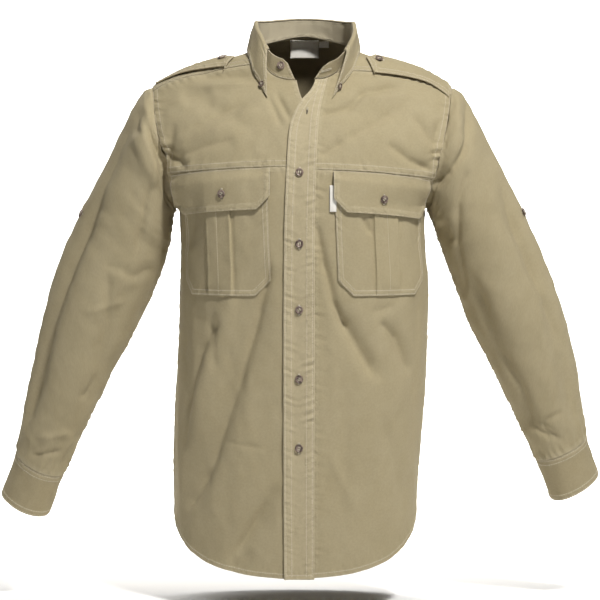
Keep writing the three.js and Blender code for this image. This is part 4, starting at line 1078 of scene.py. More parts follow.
def leaf():
    us = edged(430, 2.8, 0.7, 8)[None, :]
    vs = np.concatenate([np.linspace(0, 0.2, 9)[:-1], lerp(0.2, 1, edged(52, 2.4, 0.7, 8))])[:, None]
    outer, inner = leaf_point(us, vs), leaf_point(us, vs, DOUBLE_CLOTH)
    normal = grid_normal(outer, (3, 0, -10))
    relief = 0.6 * waves(outer, 30, 61) * smooth((vs - 0.2) / 0.2) * smooth((1 - vs) / 0.1)
    sewing = {"top": "edge", "start": "edge", "end": "edge", "bottom": "fold"}
    return Panel(outer, inner, normal, sewing, relief, seed=33)


def neck_patch(patch):
    x1, x2, z1, z2, off = patch
    us, vs = np.linspace(0, 1, 25)[None, :], np.linspace(0, 1, 17)[:, None]
    x, z = lerp(x1, x2, us + 0 * vs), lerp(z1, z2, vs + 0 * us)
    n = body_power(z)
    y = body_back(z) * (1 - np.abs((x - body_shift(z)) / body_width(z)) ** n) ** (1 / n)
    outer = xyz(x, np.minimum(y, 80) - CLOTH - off, z)
    inner = outer - np.array([0, TAPE, 0])
    normal = xyz(0 * x, 0 * x - 1, 0 * x)
    bow = 0.25 * waves(outer, 14, 71)
    return Panel(inner, outer, normal, ALL_FOLDED, np.abs(bow) * np.sin(us * math.pi), seed=35)


# Meshes
def mesh_object(name, vertices, faces, materials, uvs=None, values=None):
    """A new object with its origin at the world's, from vertices in millimetres."""
    mesh = bpy.data.meshes.new(name)
    mesh.from_pydata((np.asarray(vertices) / 1000).tolist(), [], np.asarray(faces).tolist())
    if uvs is not None:
        mesh.uv_layers.new(name="UVMap").uv.foreach_set("vector", np.asarray(uvs, np.float32).reshape(-1))
    for key, value in (values or {}).items():
        mesh.attributes.new(key, "FLOAT", "POINT").data.foreach_set("value", np.asarray(value, np.float32))
    for material in materials:
        mesh.materials.append(material)
    mesh.validate()
    mesh.shade_smooth()
    piece = bpy.data.objects.new(name, mesh)
    bpy.context.collection.objects.link(piece)
    return piece


def panel_object(name, panel, material):
    """Joins a panel's two faces into one closed piece of cloth."""
    rows, columns = panel.outer.shape[:2]
    size = rows * columns
    last = columns if panel.ringed else columns - 1
    j, i = (grid.reshape(-1) for grid in np.meshgrid(np.arange(rows - 1), np.arange(last), indexing="ij"))
    quads = [
        [(0, j, i), (0, j, i + 1), (0, j + 1, i + 1), (0, j + 1, i)],
        [(1, j, i), (1, j + 1, i), (1, j + 1, i + 1), (1, j, i + 1)],
    ]
    i, low, high = np.arange(last), 0 * np.arange(last), 0 * np.arange(last) + rows - 1
    quads.append([(0, low, i), (1, low, i), (1, low, i + 1), (0, low, i + 1)])
    quads.append([(0, high, i), (0, high, i + 1), (1, high, i + 1), (1, high, i)])
    if not panel.ringed:
        j, first = np.arange(rows - 1), 0 * np.arange(rows - 1)
        end = first + last
        quads.append([(0, j, first), (0, j + 1, first), (1, j + 1, first), (1, j, first)])
        quads.append([(0, j, end), (1, j, end), (1, j + 1, end), (0, j + 1, end)])
    faces, corners = [], []
    edge_uv = panel.uv[:, :1] + np.stack([panel.wide, 0 * panel.wide], axis=-1) / 1000
    uv = np.concatenate([panel.uv, edge_uv], axis=1)
    for quad in quads:
        numbers = [layer * size + row * columns + column % columns for layer, row, column in quad]
        faces.append(np.stack(numbers, axis=-1))
        corners.append(np.stack([uv[row, column] for _, row, column in quad], axis=1))
    faces, corners = np.concatenate(faces), np.concatenate(corners)
    corner = panel.outer[:-1, :-1]
    facing = np.cross(panel.outer[:-1, 1:] - corner, panel.outer[1:, :-1] - corner)
    if np.sum(facing * panel.normal[:-1, :-1]) < 0:
        faces, corners = faces[:, ::-1], corners[:, ::-1]
    vertices = np.concatenate([panel.outer.reshape(-1, 3), panel.inner.reshape(-1, 3)])
    values = {
        "seam": np.tile(panel.seam.reshape(-1), 2),
        "rim": np.tile(panel.rim.reshape(-1), 2),
        # The inner face is marked 1, for its own colour with painted shade inside the shirt and painted light
        # inside the collar and cuffs.
        "reverse": np.repeat([0.0, 1.0], size),
    }
    return mesh_object(name, vertices, faces, [material], corners, values)


SPINDLE = np.array(
    [(-1, 0, 0, -0.55)]
    + [(-0.55, math.cos(a), math.sin(a), 0) for a in (0, math.pi / 2, math.pi, 1.5 * math.pi)]
    + [(0.55, math.cos(a), math.sin(a), 0) for a in (0, math.pi / 2, math.pi, 1.5 * math.pi)]
    + [(1, 0, 0, -0.55)]
)
SPINDLE_FACES = [(0, 2, 1), (0, 3, 2), (0, 4, 3), (0, 1, 4)]
SPINDLE_FACES += [(1, 2, 6), (1, 6, 5), (2, 3, 7), (2, 7, 6), (3, 4, 8), (3, 8, 7), (4, 1, 5), (4, 5, 8)]
SPINDLE_FACES += [(9, 5, 6), (9, 6, 7), (9, 7, 8), (9, 8, 5)]


class Thread:
    """Collects stitches, and makes them one piece."""

    def __init__(self):
        self.centres, self.ways, self.ups, self.sizes = [], [], [], []

    def stitch(self, centres, ways, ups, long, thick):
        self.centres.append(np.atleast_2d(centres))
        self.ways.append(np.atleast_2d(ways))
        self.ups.append(np.atleast_2d(ups))
        self.sizes.append(np.tile([[long, thick]], (len(self.centres[-1]), 1)))

    def row(self, line, pitch=3.7, long=2.5, thick=0.4):
        """A row of lockstitch along a line of points and normals."""
        points, normals = line
        if len(points) < 2:
            return
        gone = lengths(points[None], 1)[0]
        count = int(gone[-1] // pitch)
        if count < 1:
            return
        at = (np.arange(count) + 0.5) * gone[-1] / count

        def read(table, where):
            return np.stack([np.interp(where, gone, table[:, k]) for k in range(3)], axis=-1)

        ups = unit(read(normals, at))
        ways = unit(read(points, at + 0.6) - read(points, at - 0.6))
        self.stitch(read(points, at) + ups * 0.2, ways, ups, long, thick)

    def buttonhole(self, centre, way, up, long=15.0):
        """Satin stitches down both sides of a slit, with a bar across each end."""
        way, up = unit(np.asarray(way, float)), unit(np.asarray(up, float))
        side = np.cross(up, way)
        along = np.arange(-long / 2, long / 2 + 0.01, 0.62)
        for sign in (-1, 1):
            points = centre + along[:, None] * way + sign * 0.95 * side + up * 0.25
            self.stitch(points, np.tile(side, (len(along), 1)), np.tile(up, (len(along), 1)), 1.5, 0.36)
        ends = np.concatenate([along[:3], along[-3:]])
        self.stitch(
            centre + ends[:, None] * way + up * 0.45, np.tile(side, (6, 1)), np.tile(up, (6, 1)), 3.6, 0.36
        )

    def piece(self, name, material):
        lists = (self.centres, self.ways, self.ups, self.sizes)
        centres, ways, ups, sizes = (np.concatenate(x) for x in lists)
        sides = np.cross(ups, ways)
        long, thick = sizes[:, 0][:, None, None] / 2, sizes[:, 1][:, None, None]
        vertices = centres[:, None] + SPINDLE[None, :, 0, None] * long * ways[:, None]
        vertices = vertices + SPINDLE[None, :, 1, None] * thick * sides[:, None]
        vertices = vertices + (SPINDLE[None, :, 2, None] + SPINDLE[None, :, 3, None]) * thick * ups[:, None]
        faces = np.array(SPINDLE_FACES)[None] + 10 * np.arange(len(centres))[:, None, None]
        return mesh_object(name, vertices.reshape(-1, 3), faces.reshape(-1, 3)[:, ::-1], [material])


# Materials

# A diagonal wave texture's scale times the distance between its ridges in metres
WAVE_SCALE = 0.444


def socket_names(tree, inputs, outputs):
    for name, kind, default in inputs:
        socket = tree.interface.new_socket(name=name, in_out="INPUT", socket_type=kind)
        socket.default_value = default
    for name, kind in outputs:
        tree.interface.new_socket(name=name, in_out="OUTPUT", socket_type=kind)


def add_node(tree, kind, x, y, values=None, **settings):
    node = tree.nodes.new(kind)
    node.location = (x, y)
    for key, value in settings.items():
        setattr(node, key, value)
    for key, value in (values or {}).items():
        node.inputs[key].default_value = value
    return node


def sum_node(tree, operation, x, y, a, b, clamp=False):
    """A sum of two sockets or numbers."""
    node = add_node(tree, "ShaderNodeMath", x, y, operation=operation, use_clamp=clamp)
    for number, value in enumerate((a, b)):
        if isinstance(value, (int, float)):
            node.inputs[number].default_value = value
        else:
            tree.links.new(value, node.inputs[number])
    return node.outputs[0]


def mixed(tree, x, y, factor, a, b, blend="MIX"):
    """A mix of two colours, each a socket or a colour."""
    node = add_node(tree, "ShaderNodeMix", x, y, data_type="RGBA", blend_type=blend)
    for number, value in ((0, factor), (6, a), (7, b)):
        if isinstance(value, bpy.types.NodeSocket):
            tree.links.new(value, node.inputs[number])
        elif number == 0:
            node.inputs[number].default_value = value
        else:
            node.inputs[number].default_value = (*value[:3], 1)
    return node.outputs[2]


def part_mixed(tree, x, y, mask, share, a, b):
    """A mix of two colours by a share of a mask."""
    return mixed(tree, x, y, sum_node(tree, "MULTIPLY", x - 180, y - 150, mask, share), a, b)


def scaled(tree, x, y, value, times, plus):
    """A value that is multiplied and then added to."""
    result = sum_node(tree, "MULTIPLY_ADD", x, y, value, times)
    result.node.inputs[2].default_value = plus
    return result


def bumped(tree, x, y, height, strength, distance, under=None):
    """The normal of a relief, which may lie on the normal of a larger one."""
    bump = add_node(tree, "ShaderNodeBump", x, y, {"Strength": strength, "Distance": distance})
    tree.links.new(height, bump.inputs["Height"])
    if under is not None:
        tree.links.new(under, bump.inputs["Normal"])
    return bump.outputs["Normal"]


def put_out(tree, result, **values):
    """Links what a node group puts out."""
    for name, value in values.items():
        tree.links.new(value, result.inputs[name])


def spots(tree, x, y, place, scale, detail=2.0, low=0.35, high=0.65):
    """Soft noise between 0 and 1."""
    noise = add_node(tree, "ShaderNodeTexNoise", x, y, {"Scale": scale, "Detail": detail, "Roughness": 0.55})
    tree.links.new(place, noise.inputs["Vector"])
    spread = add_node(tree, "ShaderNodeMapRange", x + 180, y, {"From Min": low, "From Max": high})
    tree.links.new(noise.outputs["Fac"], spread.inputs["Value"])
    return spread.outputs["Result"]


def twill_group():
    """Washed cotton twill: a slanted weave, faded and rubbed pale along its sewn edges, with a colour of its
    own on the inner face, which carries painted shade inside the shirt and painted light inside the collar
    and cuffs.
    """
    tree = bpy.data.node_groups.new("Washed twill", "ShaderNodeTree")
    socket_names(
        tree,
        [
            ("Cloth", "NodeSocketColor", (0.4, 0.34, 0.21, 1)),
            ("Rubbed", "NodeSocketColor", (0.5, 0.45, 0.31, 1)),
            ("Reverse", "NodeSocketColor", (0.46, 0.41, 0.29, 1)),
            ("Rubbing", "NodeSocketFloat", 0.6),
            ("Weave", "NodeSocketFloat", 800.0),
        ],
        [("Colour", "NodeSocketColor"), ("Roughness", "NodeSocketFloat"), ("Normal", "NodeSocketVector")],
    )
    given = add_node(tree, "NodeGroupInput", -1500, 0)
    result = add_node(tree, "NodeGroupOutput", 900, 0)
    place = add_node(tree, "ShaderNodeUVMap", -1500, -300, uv_map="UVMap").outputs["UV"]
    read = {
        name: add_node(tree, "ShaderNodeAttribute", -1500, 400 - 160 * k, attribute_name=name).outputs["Fac"]
        for k, name in enumerate(("seam", "rim", "reverse"))
    }
    ridges = add_node(
        tree, "ShaderNodeTexWave", -1200, -400, {"Distortion": 1.6, "Detail": 2.0, "Detail Scale": 1.3},
        wave_type="BANDS", bands_direction="DIAGONAL",
    )
    tree.links.new(place, ridges.inputs["Vector"])
    tree.links.new(given.outputs["Weave"], ridges.inputs["Scale"])
    yarns = spots(tree, -1200, -700, place, 1700, 1.0)
    slubs = spots(tree, -1200, -900, place, 330, 3.0)
    washed = spots(tree, -1200, -1100, place, 60, 3.0, 0.3, 0.7)
    faded = spots(tree, -1200, -1300, place, 11, 2.0, 0.3, 0.7)
    cloth, rubbed, weave = given.outputs["Cloth"], given.outputs["Rubbed"], ridges.outputs["Fac"]
    colour = part_mixed(tree, -700, 200, washed, 0.08, cloth, rubbed)
    colour = part_mixed(tree, -500, 200, faded, 0.12, colour, rubbed)
    grain = scaled(tree, -700, -200, slubs, 0.07, 0.93)
    threads = scaled(tree, -700, -400, weave, 0.14, 0.93)
    both = sum_node(tree, "MULTIPLY", -500, -300, grain, threads)
    shade = add_node(tree, "ShaderNodeCombineColor", -300, -300)
    for channel in range(3):
        tree.links.new(both, shade.inputs[channel])
    colour = mixed(tree, -300, 200, 1.0, colour, shade.outputs[0], "MULTIPLY")
    worn = sum_node(tree, "MULTIPLY", -300, 500, read["rim"], sum_node(tree, "ADD", -500, 500, slubs, 0.25))
    sewn = sum_node(tree, "MULTIPLY", -300, 350, read["seam"], 0.18)
    worn = sum_node(tree, "ADD", -100, 500, worn, sewn, True)
    worn = sum_node(tree, "MULTIPLY", 60, 500, worn, given.outputs["Rubbing"], True)
    colour = mixed(tree, 100, 200, worn, colour, rubbed)
    # The inner face takes its own colour: painted shade inside the shirt and placket, painted light inside
    # the collar and cuffs.
    colour = mixed(tree, 300, 200, read["reverse"], colour, given.outputs["Reverse"])
    height = sum_node(tree, "ADD", -300, -600, weave, sum_node(tree, "MULTIPLY", -500, -700, yarns, 0.6))
    height = sum_node(tree, "ADD", -100, -600, height, sum_node(tree, "MULTIPLY", -300, -800, slubs, 0.8))
    puckers = spots(tree, -1200, -1500, place, 140, 2.0)
    gathers = sum_node(tree, "MULTIPLY", -700, -1000, puckers, read["seam"])
    gathered = bumped(tree, 100, -900, gathers, 0.6, 0.0009)
    normal = bumped(tree, 300, -600, height, 0.55, 0.00016, gathered)
    put_out(tree, result, Colour=colour, Roughness=scaled(tree, 300, -100, yarns, 0.1, 0.84), Normal=normal)
    return tree


def shaded(name, group, values, sheen=0.0, roughness=None, coat=0.0):
    """A material whose colour, roughness and normal come from a node group."""
    material = bpy.data.materials.new(name)
    material.use_nodes = True
    tree = material.node_tree
    shader = tree.nodes["Principled BSDF"]
    shader.inputs["Sheen Weight"].default_value = sheen
    shader.inputs["Sheen Roughness"].default_value = 0.45
    shader.inputs["Coat Weight"].default_value = coat
    shader.inputs["Coat Roughness"].default_value = 0.12
    shader.inputs["Specular IOR Level"].default_value = 0.25 if roughness is None else 0.5
    node = add_node(tree, "ShaderNodeGroup", -300, 200, node_tree=group)
    for key, value in values.items():
        node.inputs[key].default_value = value
    tree.links.new(node.outputs["Colour"], shader.inputs["Base Color"])
    tree.links.new(node.outputs["Normal"], shader.inputs["Normal"])
    if roughness is None:
        tree.links.new(node.outputs["Roughness"], shader.inputs["Roughness"])
    else:
        shader.inputs["Roughness"].default_value = roughness
    return material


def object_group(name, inputs, rough=True):
    """An empty node group that reads the piece's own place."""
    tree = bpy.data.node_groups.new(name, "ShaderNodeTree")
    outputs = [("Colour", "NodeSocketColor"), ("Normal", "NodeSocketVector")]
    if rough:
        outputs.append(("Roughness", "NodeSocketFloat"))
    socket_names(tree, inputs, outputs)
    given = add_node(tree, "NodeGroupInput", -900, 0)
    result = add_node(tree, "NodeGroupOutput", 600, 0)
    place = add_node(tree, "ShaderNodeTexCoord", -900, -200).outputs["Object"]
    return tree, given, result, place


def thread_group():
    """Spun cotton thread."""
    inputs = [("Thread", "NodeSocketColor", (0.5, 0.43, 0.3, 1))]
    tree, given, result, place = object_group("Sewing thread", inputs)
    fuzz = spots(tree, -650, -200, place, 2600, 2.0)
    tone = spots(tree, -650, -450, place, 160, 2.0)
    colour = part_mixed(tree, -300, 100, fuzz, 0.35, given.outputs["Thread"], (0.2, 0.16, 0.1))
    colour = part_mixed(tree, -100, 100, tone, 0.25, colour, (0.62, 0.57, 0.44))
    normal = bumped(tree, 100, -400, fuzz, 0.5, 0.0001)
    put_out(tree, result, Colour=colour, Roughness=scaled(tree, 0, -100, fuzz, 0.2, 0.65), Normal=normal)
    return tree


def horn_group():
    """Mottled horn, with pale and dark clouds."""
    inputs = [
        ("Pale", "NodeSocketColor", (0.4, 0.31, 0.25, 1)),
        ("Dark", "NodeSocketColor", (0.05, 0.035, 0.03, 1)),
    ]
    tree, given, result, place = object_group("Mottled horn", inputs)
    clouds = spots(tree, -650, 0, place, 230, 4.0, 0.4, 0.6)
    streaks = spots(tree, -650, -250, place, 900, 3.0)
    colour = mixed(tree, -200, 200, clouds, given.outputs["Pale"], given.outputs["Dark"])
    colour = part_mixed(tree, 0, 200, streaks, 0.3, colour, (0.16, 0.1, 0.08))
    normal = bumped(tree, 200, -300, streaks, 0.15, 0.0001)
    put_out(tree, result, Colour=colour, Roughness=scaled(tree, 0, -100, streaks, 0.15, 0.22), Normal=normal)
    return tree


def tape_group():
    """Woven tape with a fine plain weave."""
    inputs = [("Tape", "NodeSocketColor", (0.78, 0.76, 0.69, 1))]
    tree, given, result, place = object_group("Woven tape", inputs)
    threads = []
    for y, way, scale in ((0, "Z", 900.0), (-250, "X", 1100.0)):
        values = {"Scale": scale, "Distortion": 0.6}
        wave = add_node(tree, "ShaderNodeTexWave", -650, y, values, bands_direction=way)
        tree.links.new(place, wave.inputs["Vector"])
        threads.append(wave.outputs["Fac"])
    cross = sum_node(tree, "MULTIPLY", -400, -100, *threads)
    tone = spots(tree, -650, -500, place, 120, 3.0)
    colour = part_mixed(tree, -200, 200, cross, 0.2, given.outputs["Tape"], (0.6, 0.57, 0.5))
    colour = part_mixed(tree, 0, 200, tone, 0.15, colour, (0.66, 0.62, 0.52))
    normal = bumped(tree, 200, -300, cross, 0.4, 0.0001)
    put_out(tree, result, Colour=colour, Roughness=scaled(tree, 0, -100, cross, 0.1, 0.7), Normal=normal)
    return tree


def finish(name):
    """One of the shirt's materials, made the first time that it is asked for."""
    if name in bpy.data.materials:
        return bpy.data.materials[name]
    shirt = bpy.context.scene.field_shirt
    cloths = {
        # The shirt cloth and placket take a colour darker than the cloth on their inner faces: painted shade
        # inside the shirt.
        "Shirt cloth": (shirt.cloth, shirt.reverse), "Placket cloth": (shirt.placket_cloth, shirt.reverse),
        # The collar and cuffs take the pale rubbed colour on their inner faces: painted light inside them.
        "Collar cloth": (shirt.collar_cloth, shirt.rubbed), "Cuff cloth": (shirt.cuff_cloth, shirt.rubbed),
    }
    if name in cloths:
        group = bpy.data.node_groups.get("Washed twill") or twill_group()
        cloth, reverse = cloths[name]
        values = {
            "Cloth": (*cloth, 1), "Rubbed": (*shirt.rubbed, 1), "Reverse": (*reverse, 1),
            "Rubbing": shirt.rubbing, "Weave": WAVE_SCALE / shirt.twill_spacing,
        }
        return shaded(name, group, values, sheen=0.03)
    if name == "Sewing thread":
        group = bpy.data.node_groups.get("Sewing thread") or thread_group()
        return shaded(name, group, {"Thread": (*shirt.thread, 1)}, sheen=0.1)
    # Painted shade: a near-black colour for the dark inside of the open buttonhole.
    if name == "Buttonhole shade":
        group = bpy.data.node_groups.get("Sewing thread") or thread_group()
        return shaded(name, group, {"Thread": (0.02, 0.016, 0.01, 1)})
    if name == "Horn button":
        values = {"Pale": (*shirt.horn_pale, 1), "Dark": (*shirt.horn_dark, 1)}
        return shaded(name, horn_group(), values, coat=0.25)
    return shaded(name, tape_group(), {"Tape": (*shirt.tape, 1)}, sheen=0.05)


# Pieces
PANELS = {}


def sewn_piece(node, panel, material, thread=None):
    """Makes a piece of cloth, puts it in a node's place and adds its stitches."""
    PANELS[node] = panel
    piece = panel_object(node + "_cloth", panel, finish(material))
    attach(piece, "root")
    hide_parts(node)
    if thread is not None and thread.centres:
        sewing = thread.piece(node + "_stitches", finish("Sewing thread"))
        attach(sewing, "root")
    return piece


def sewing_rows(panel, rows):
    """Rows of lockstitch along a panel's sides: side, distance and how much is left out at each end."""
    thread = Thread()
    for side, distance, skip in rows:
        thread.row(panel.line(side, distance, skip))
    return thread


def rows_along(sides, distances, skip):
    """The same rows along several sides."""
    return [(side, distance, skip) for side in sides for distance in distances]


def add_lower_fronts():
    for name in ("left", "right"):
        panel = lower_front(name)
        rows = [("bottom", HEM_ROW, (2, 1)), *rows_along(["end"], FELLED_ROWS, (1, 1))]
        sewn_piece("lower_front_" + name, panel, "Shirt cloth", thread=sewing_rows(panel, rows))


def add_upper_fronts():
    for name in ("left", "right"):
        panel = upper_front(name)
        rows = rows_along(("bottom", "end"), FELLED_ROWS, (1, 1))
        sewn_piece("upper_front_" + name, panel, "Shirt cloth", thread=sewing_rows(panel, rows))


def add_back_and_yoke():
    panel = back()
    sewn_piece("back", panel, "Shirt cloth", thread=sewing_rows(panel, [("bottom", HEM_ROW, (1, 1))]))
    panel = yoke()
    rows = rows_along(("top", "start", "end"), FELLED_ROWS, (2, 2))
    sewn_piece("yoke", panel, "Shirt cloth", thread=sewing_rows(panel, rows))


def add_placket():
    panel = placket()
    rows = [*rows_along(("start", "end"), PLACKET_ROWS, (2, 2)), ("bottom", HEM_ROW, (2, 2))]
    thread = sewing_rows(panel, rows)
    for z in PLACKET_BUTTONS:
        point, normal = front_spot(panel, PLACKET_BUTTON_X, z)
        thread.buttonhole(point, (0, 0, 1), normal)
    point, normal = front_spot(panel, *OPEN_BUTTONHOLE)
    thread.buttonhole(point, OPEN_BUTTONHOLE_WAY, normal)
    sewn_piece("placket", panel, "Placket cloth", thread=thread)
    # Painted shade: a near-black spindle laid on the open buttonhole, where its slit lies in shade.
    slit = Thread()
    slit.stitch(point + normal * 0.3, unit(np.array(OPEN_BUTTONHOLE_WAY, float)), normal, 11, 1.1)
    opening = slit.piece("placket_buttonhole_painted_shade", finish("Buttonhole shade"))
    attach(opening, "root")


def front_spot(panel, x, z):
    """The place of a panel's outer face that has this x and z seen from the front."""
    near = np.abs(panel.outer[..., 0] - x) + np.abs(panel.outer[..., 2] - z)
    row, column = np.unravel_index(np.argmin(near), near.shape)
    return panel.outer[row, column], panel.normal[row, column]


def outline_row(panel, corners, inset):
    """A row that runs inside an open outline of distances and heights, with mitred corners."""
    points = np.array(corners, float)
    ways = unit(np.diff(points, axis=0))
    turned = np.stack([-ways[:, 1], ways[:, 0]], axis=-1)
    line = [points[0] + turned[0] * inset]
    for k in range(1, len(points) - 1):
        bisector = unit(turned[k - 1] + turned[k])
        line.append(points[k] + bisector * inset / max(0.3, float(bisector @ turned[k])))
    line.append(points[-1] + turned[-1] * inset)
    fine = []
    for a, b in zip(line[:-1], line[1:]):
        count = max(2, int(np.linalg.norm(b - a) / ROW_SPACING))
        fine.append(lerp(a, b, np.linspace(0, 1, count, endpoint=False)[:, None]))
    fine = np.concatenate(fine + [line[-1][None]])
    return on_patch(panel, fine[:, 0], fine[:, 1])


def add_pockets():
    for name in ("left", "right"):
        panel = pocket(name)
        inner, outer, clip, low = POCKET["inner"], POCKET["outer"], POCKET["clip"], POCKET["bottom"]
        top = float(panel.high[0]) - 20
        corners = [
            (inner, top), (inner, low + clip), (inner + clip, low),
            (outer - clip, low), (outer, low + clip), (outer, top),
        ]
        thread = Thread()
        for inset in EDGE_ROWS:
            thread.row(outline_row(panel, corners, inset))
        middle = (inner + outer) / 2
        z = np.arange(low + 1, top, ROW_SPACING)
        thread.row(on_patch(panel, 0 * z + middle + 1.4, z))
        sewn_piece("pocket_" + name, panel, "Shirt cloth", thread=thread)


def add_pocket_flaps():
    for name in ("left", "right"):
        panel = flap(name)
        inner, outer, clip = FLAP["inner"], FLAP["outer"], FLAP["clip"]
        first, last = float(panel.high[0]), float(panel.high[-1])
        lows = np.interp([inner, inner + clip, outer - clip, outer], panel.columns, panel.low)
        corners = [
            (inner, first - 1), (inner, lows[0]), (inner + clip, lows[1]),
            (outer - clip, lows[2]), (outer, lows[3]), (outer, last - 1),
        ]
        thread = Thread()
        for inset in EDGE_ROWS:
            thread.row(outline_row(panel, corners, inset))
        point, normal = front_spot(panel, *FLAP_BUTTONS[name])
        thread.buttonhole(point, (0, 0, 1), normal)
        sewn_piece("pocket_flap_" + name, panel, "Shirt cloth", thread=thread)


def add_straps():
    for name in ("left", "right"):
        panel = strap(name)
        outside, inside = EDGE_ROWS
        sides = ("start", "end")
        rows = rows_along(sides, [outside], (0, 6)) + rows_along(sides, [inside], (0, 12))
        rows += [("top", outside, (2, 2)), ("top", inside, (8, 8))]
        thread = sewing_rows(panel, rows)
        point, normal, way = strap_spot(name)
        thread.buttonhole(point, way, normal)
        sewn_piece("shoulder_strap_" + name, panel, "Shirt cloth", thread=thread)


def strap_spot(name):
    """Where a strap's button stands, with the outward and lengthwise directions."""
    panel = PANELS.get("shoulder_strap_" + name) or strap(name)
    rows, columns = panel.outer.shape[:2]
    gone = lengths(panel.outer[:, columns // 2][None], 1)[0]
    row = np.array([np.interp(gone[-1] - STRAP_BUTTON_FROM_POINT, gone, np.arange(rows))])
    column = np.array([(columns - 1) / 2])
    point, normal = panel.at(row, column)
    way = panel.outer[-1, columns // 2] - panel.outer[rows // 2, columns // 2]
    return point[0], normal[0], unit(way - normal[0] * float(way @ normal[0]))


def add_sleeves():
    for name in ("left", "right"):
        panel = sleeve(name)
        thread = sewing_rows(panel, rows_along(["start"], SLEEVE_HEAD_ROWS, (2, 2)))
        point, normal = sleeve_spot(name, *SLEEVE_BUTTON)
        side = np.cross(normal, (0.0, 0.0, 1.0))
        corners = [
            point + SLEEVE_SQUARE * (side * a + np.array([0, 0, b])) + normal * -0.4
            for a, b in ((-1, -1), (1, -1), (1, 1), (-1, 1), (-1, -1))
        ]
        for first, last in zip(corners[:-1], corners[1:]):
            thread.row((np.linspace(first, last, 8), np.tile(normal, (8, 1))))
        sewn_piece("sleeve_" + name, panel, "Shirt cloth", thread=thread)


def sleeve_spot(name, at, degrees):
    """A place on a sleeve's outer face, and its outward direction."""
    turn = math.radians(degrees)
    point = sleeve_point(name, np.array([at]), np.array([turn]))
    normal = tube_normal(name, np.array([at]), np.array([turn]))
    point = point + normal * sleeve_relief(name, np.array([at]), np.array([turn]), point)[:, None]
    return point[0], normal[0]


def add_cuffs():
    for name in ("left", "right"):
        panel = cuff(name)
        rows = rows_along(("bottom", "top", "start", "end"), EDGE_ROWS, (2, 2))
        thread = sewing_rows(panel, rows)
        point, normal, way = cuff_spot(panel)
        thread.buttonhole(point, way, normal)
        sewn_piece("cuff_" + name, panel, "Cuff cloth", thread=thread)


def cuff_spot(panel):
    """Where a cuff's button stands, near the end that laps over."""
    row = len(panel.outer) // 2
    column = int(np.argmin(np.abs(panel.away["end"][row] - CUFF_BUTTON_FROM_END)))
    way = panel.outer[row, column + 2] - panel.outer[row, column - 2]
    return panel.outer[row, column], panel.normal[row, column], unit(way)


def add_collar():
    panel = stand()
    rows = [("bottom", EDGE_ROWS[0], (2, 2)), *rows_along(("start", "end"), EDGE_ROWS[:1], (1, 1))]
    thread = sewing_rows(panel, rows)
    row = panel.outer.shape[0] // 2
    way = panel.outer[row, 10] - panel.outer[row, 6]
    thread.buttonhole(panel.outer[row, 8], way, panel.normal[row, 8])
    sewn_piece("collar_stand", panel, "Collar cloth", thread=thread)
    panel = leaf()
    rows = rows_along(("top", "start", "end"), EDGE_ROWS, (3, 3))
    thread = sewing_rows(panel, rows)
    for share in LEAF_BUTTONS:
        row, column = panel.nearest(leaf_point(share, LEAF_BUTTON_DOWN))
        way = panel.outer[row + 3, column] - panel.outer[row - 3, column]
        thread.buttonhole(panel.outer[row, column], way, panel.normal[row, column], 11)
    sewn_piece("collar_leaf", panel, "Collar cloth", thread=thread)


def add_labels():
    for node, panel, sides in (
        ("neck_label", neck_patch(NECK_LABEL), ("top", "bottom", "start", "end")),
        ("size_tab", neck_patch(SIZE_TAB), ("top",)),
        ("pocket_tag", pocket_tag(), ()),
    ):
        thread = sewing_rows(panel, rows_along(sides, [TAPE_ROW], (1, 1)))
        sewn_piece(node, panel, "Woven tape", thread=thread)


# Buttons
def button_master():
    """A four-hole horn button with a raised rim, 11.5 mm across, lying on z = 0 and facing up."""
    r, t = BUTTON_RADIUS / 1000, BUTTON_THICKNESS / 1000
    profile = [
        (0, 0), (0.7, 0), (0.9, 0.12), (1, 0.42), (0.99, 0.72), (0.93, 0.94), (0.85, 1), (0.76, 0.95),
        (0.68, 0.78), (0.6, 0.7), (0.3, BUTTON_DISH), (0, BUTTON_DISH),
    ]
    mesh = bpy.data.meshes.new("button_profile")
    edges = [(k, k + 1) for k in range(len(profile) - 1)]
    mesh.from_pydata([(x * r, 0, z * t) for x, z in profile], edges, [])
    turned = bpy.data.objects.new("button_profile", mesh)
    bpy.context.collection.objects.link(turned)
    bpy.ops.object.select_all(action="DESELECT")
    turned.select_set(True)
    bpy.context.view_layer.objects.active = turned
    screw = turned.modifiers.new("Turn", "SCREW")
    screw.steps = screw.render_steps = 40
    screw.use_merge_vertices = True
    screw.merge_threshold = 1e-6
    bpy.ops.object.modifier_apply(modifier=screw.name)
    bpy.ops.object.mode_set(mode="EDIT")
    bpy.ops.mesh.select_all(action="SELECT")
    bpy.ops.mesh.remove_doubles(threshold=1e-6)
    bpy.ops.mesh.normals_make_consistent(inside=False)
    bpy.ops.object.mode_set(mode="OBJECT")
    holes = []
    for x, y in ((1, 1), (1, -1), (-1, -1), (-1, 1)):
        location = (x * r * HOLE_FROM_MIDDLE, y * r * HOLE_FROM_MIDDLE, t / 2)
        bpy.ops.mesh.primitive_cylinder_add(
            vertices=14, radius=r * HOLE_RADIUS, depth=t * 3, location=location
        )
        holes.append(bpy.context.object)
    for hole in holes:
        hole.select_set(True)
    bpy.ops.object.join()
    cutter = bpy.context.object
    bpy.ops.object.select_all(action="DESELECT")
    bpy.context.view_layer.objects.active = turned
    cut = turned.modifiers.new("Holes", "BOOLEAN")
    cut.operation = "DIFFERENCE"
    cut.solver = "EXACT"
    cut.object = cutter
    bpy.ops.object.modifier_apply(modifier=cut.name)
    master = turned.data
    bpy.data.objects.remove(cutter)
    bpy.data.objects.remove(turned)
    return master


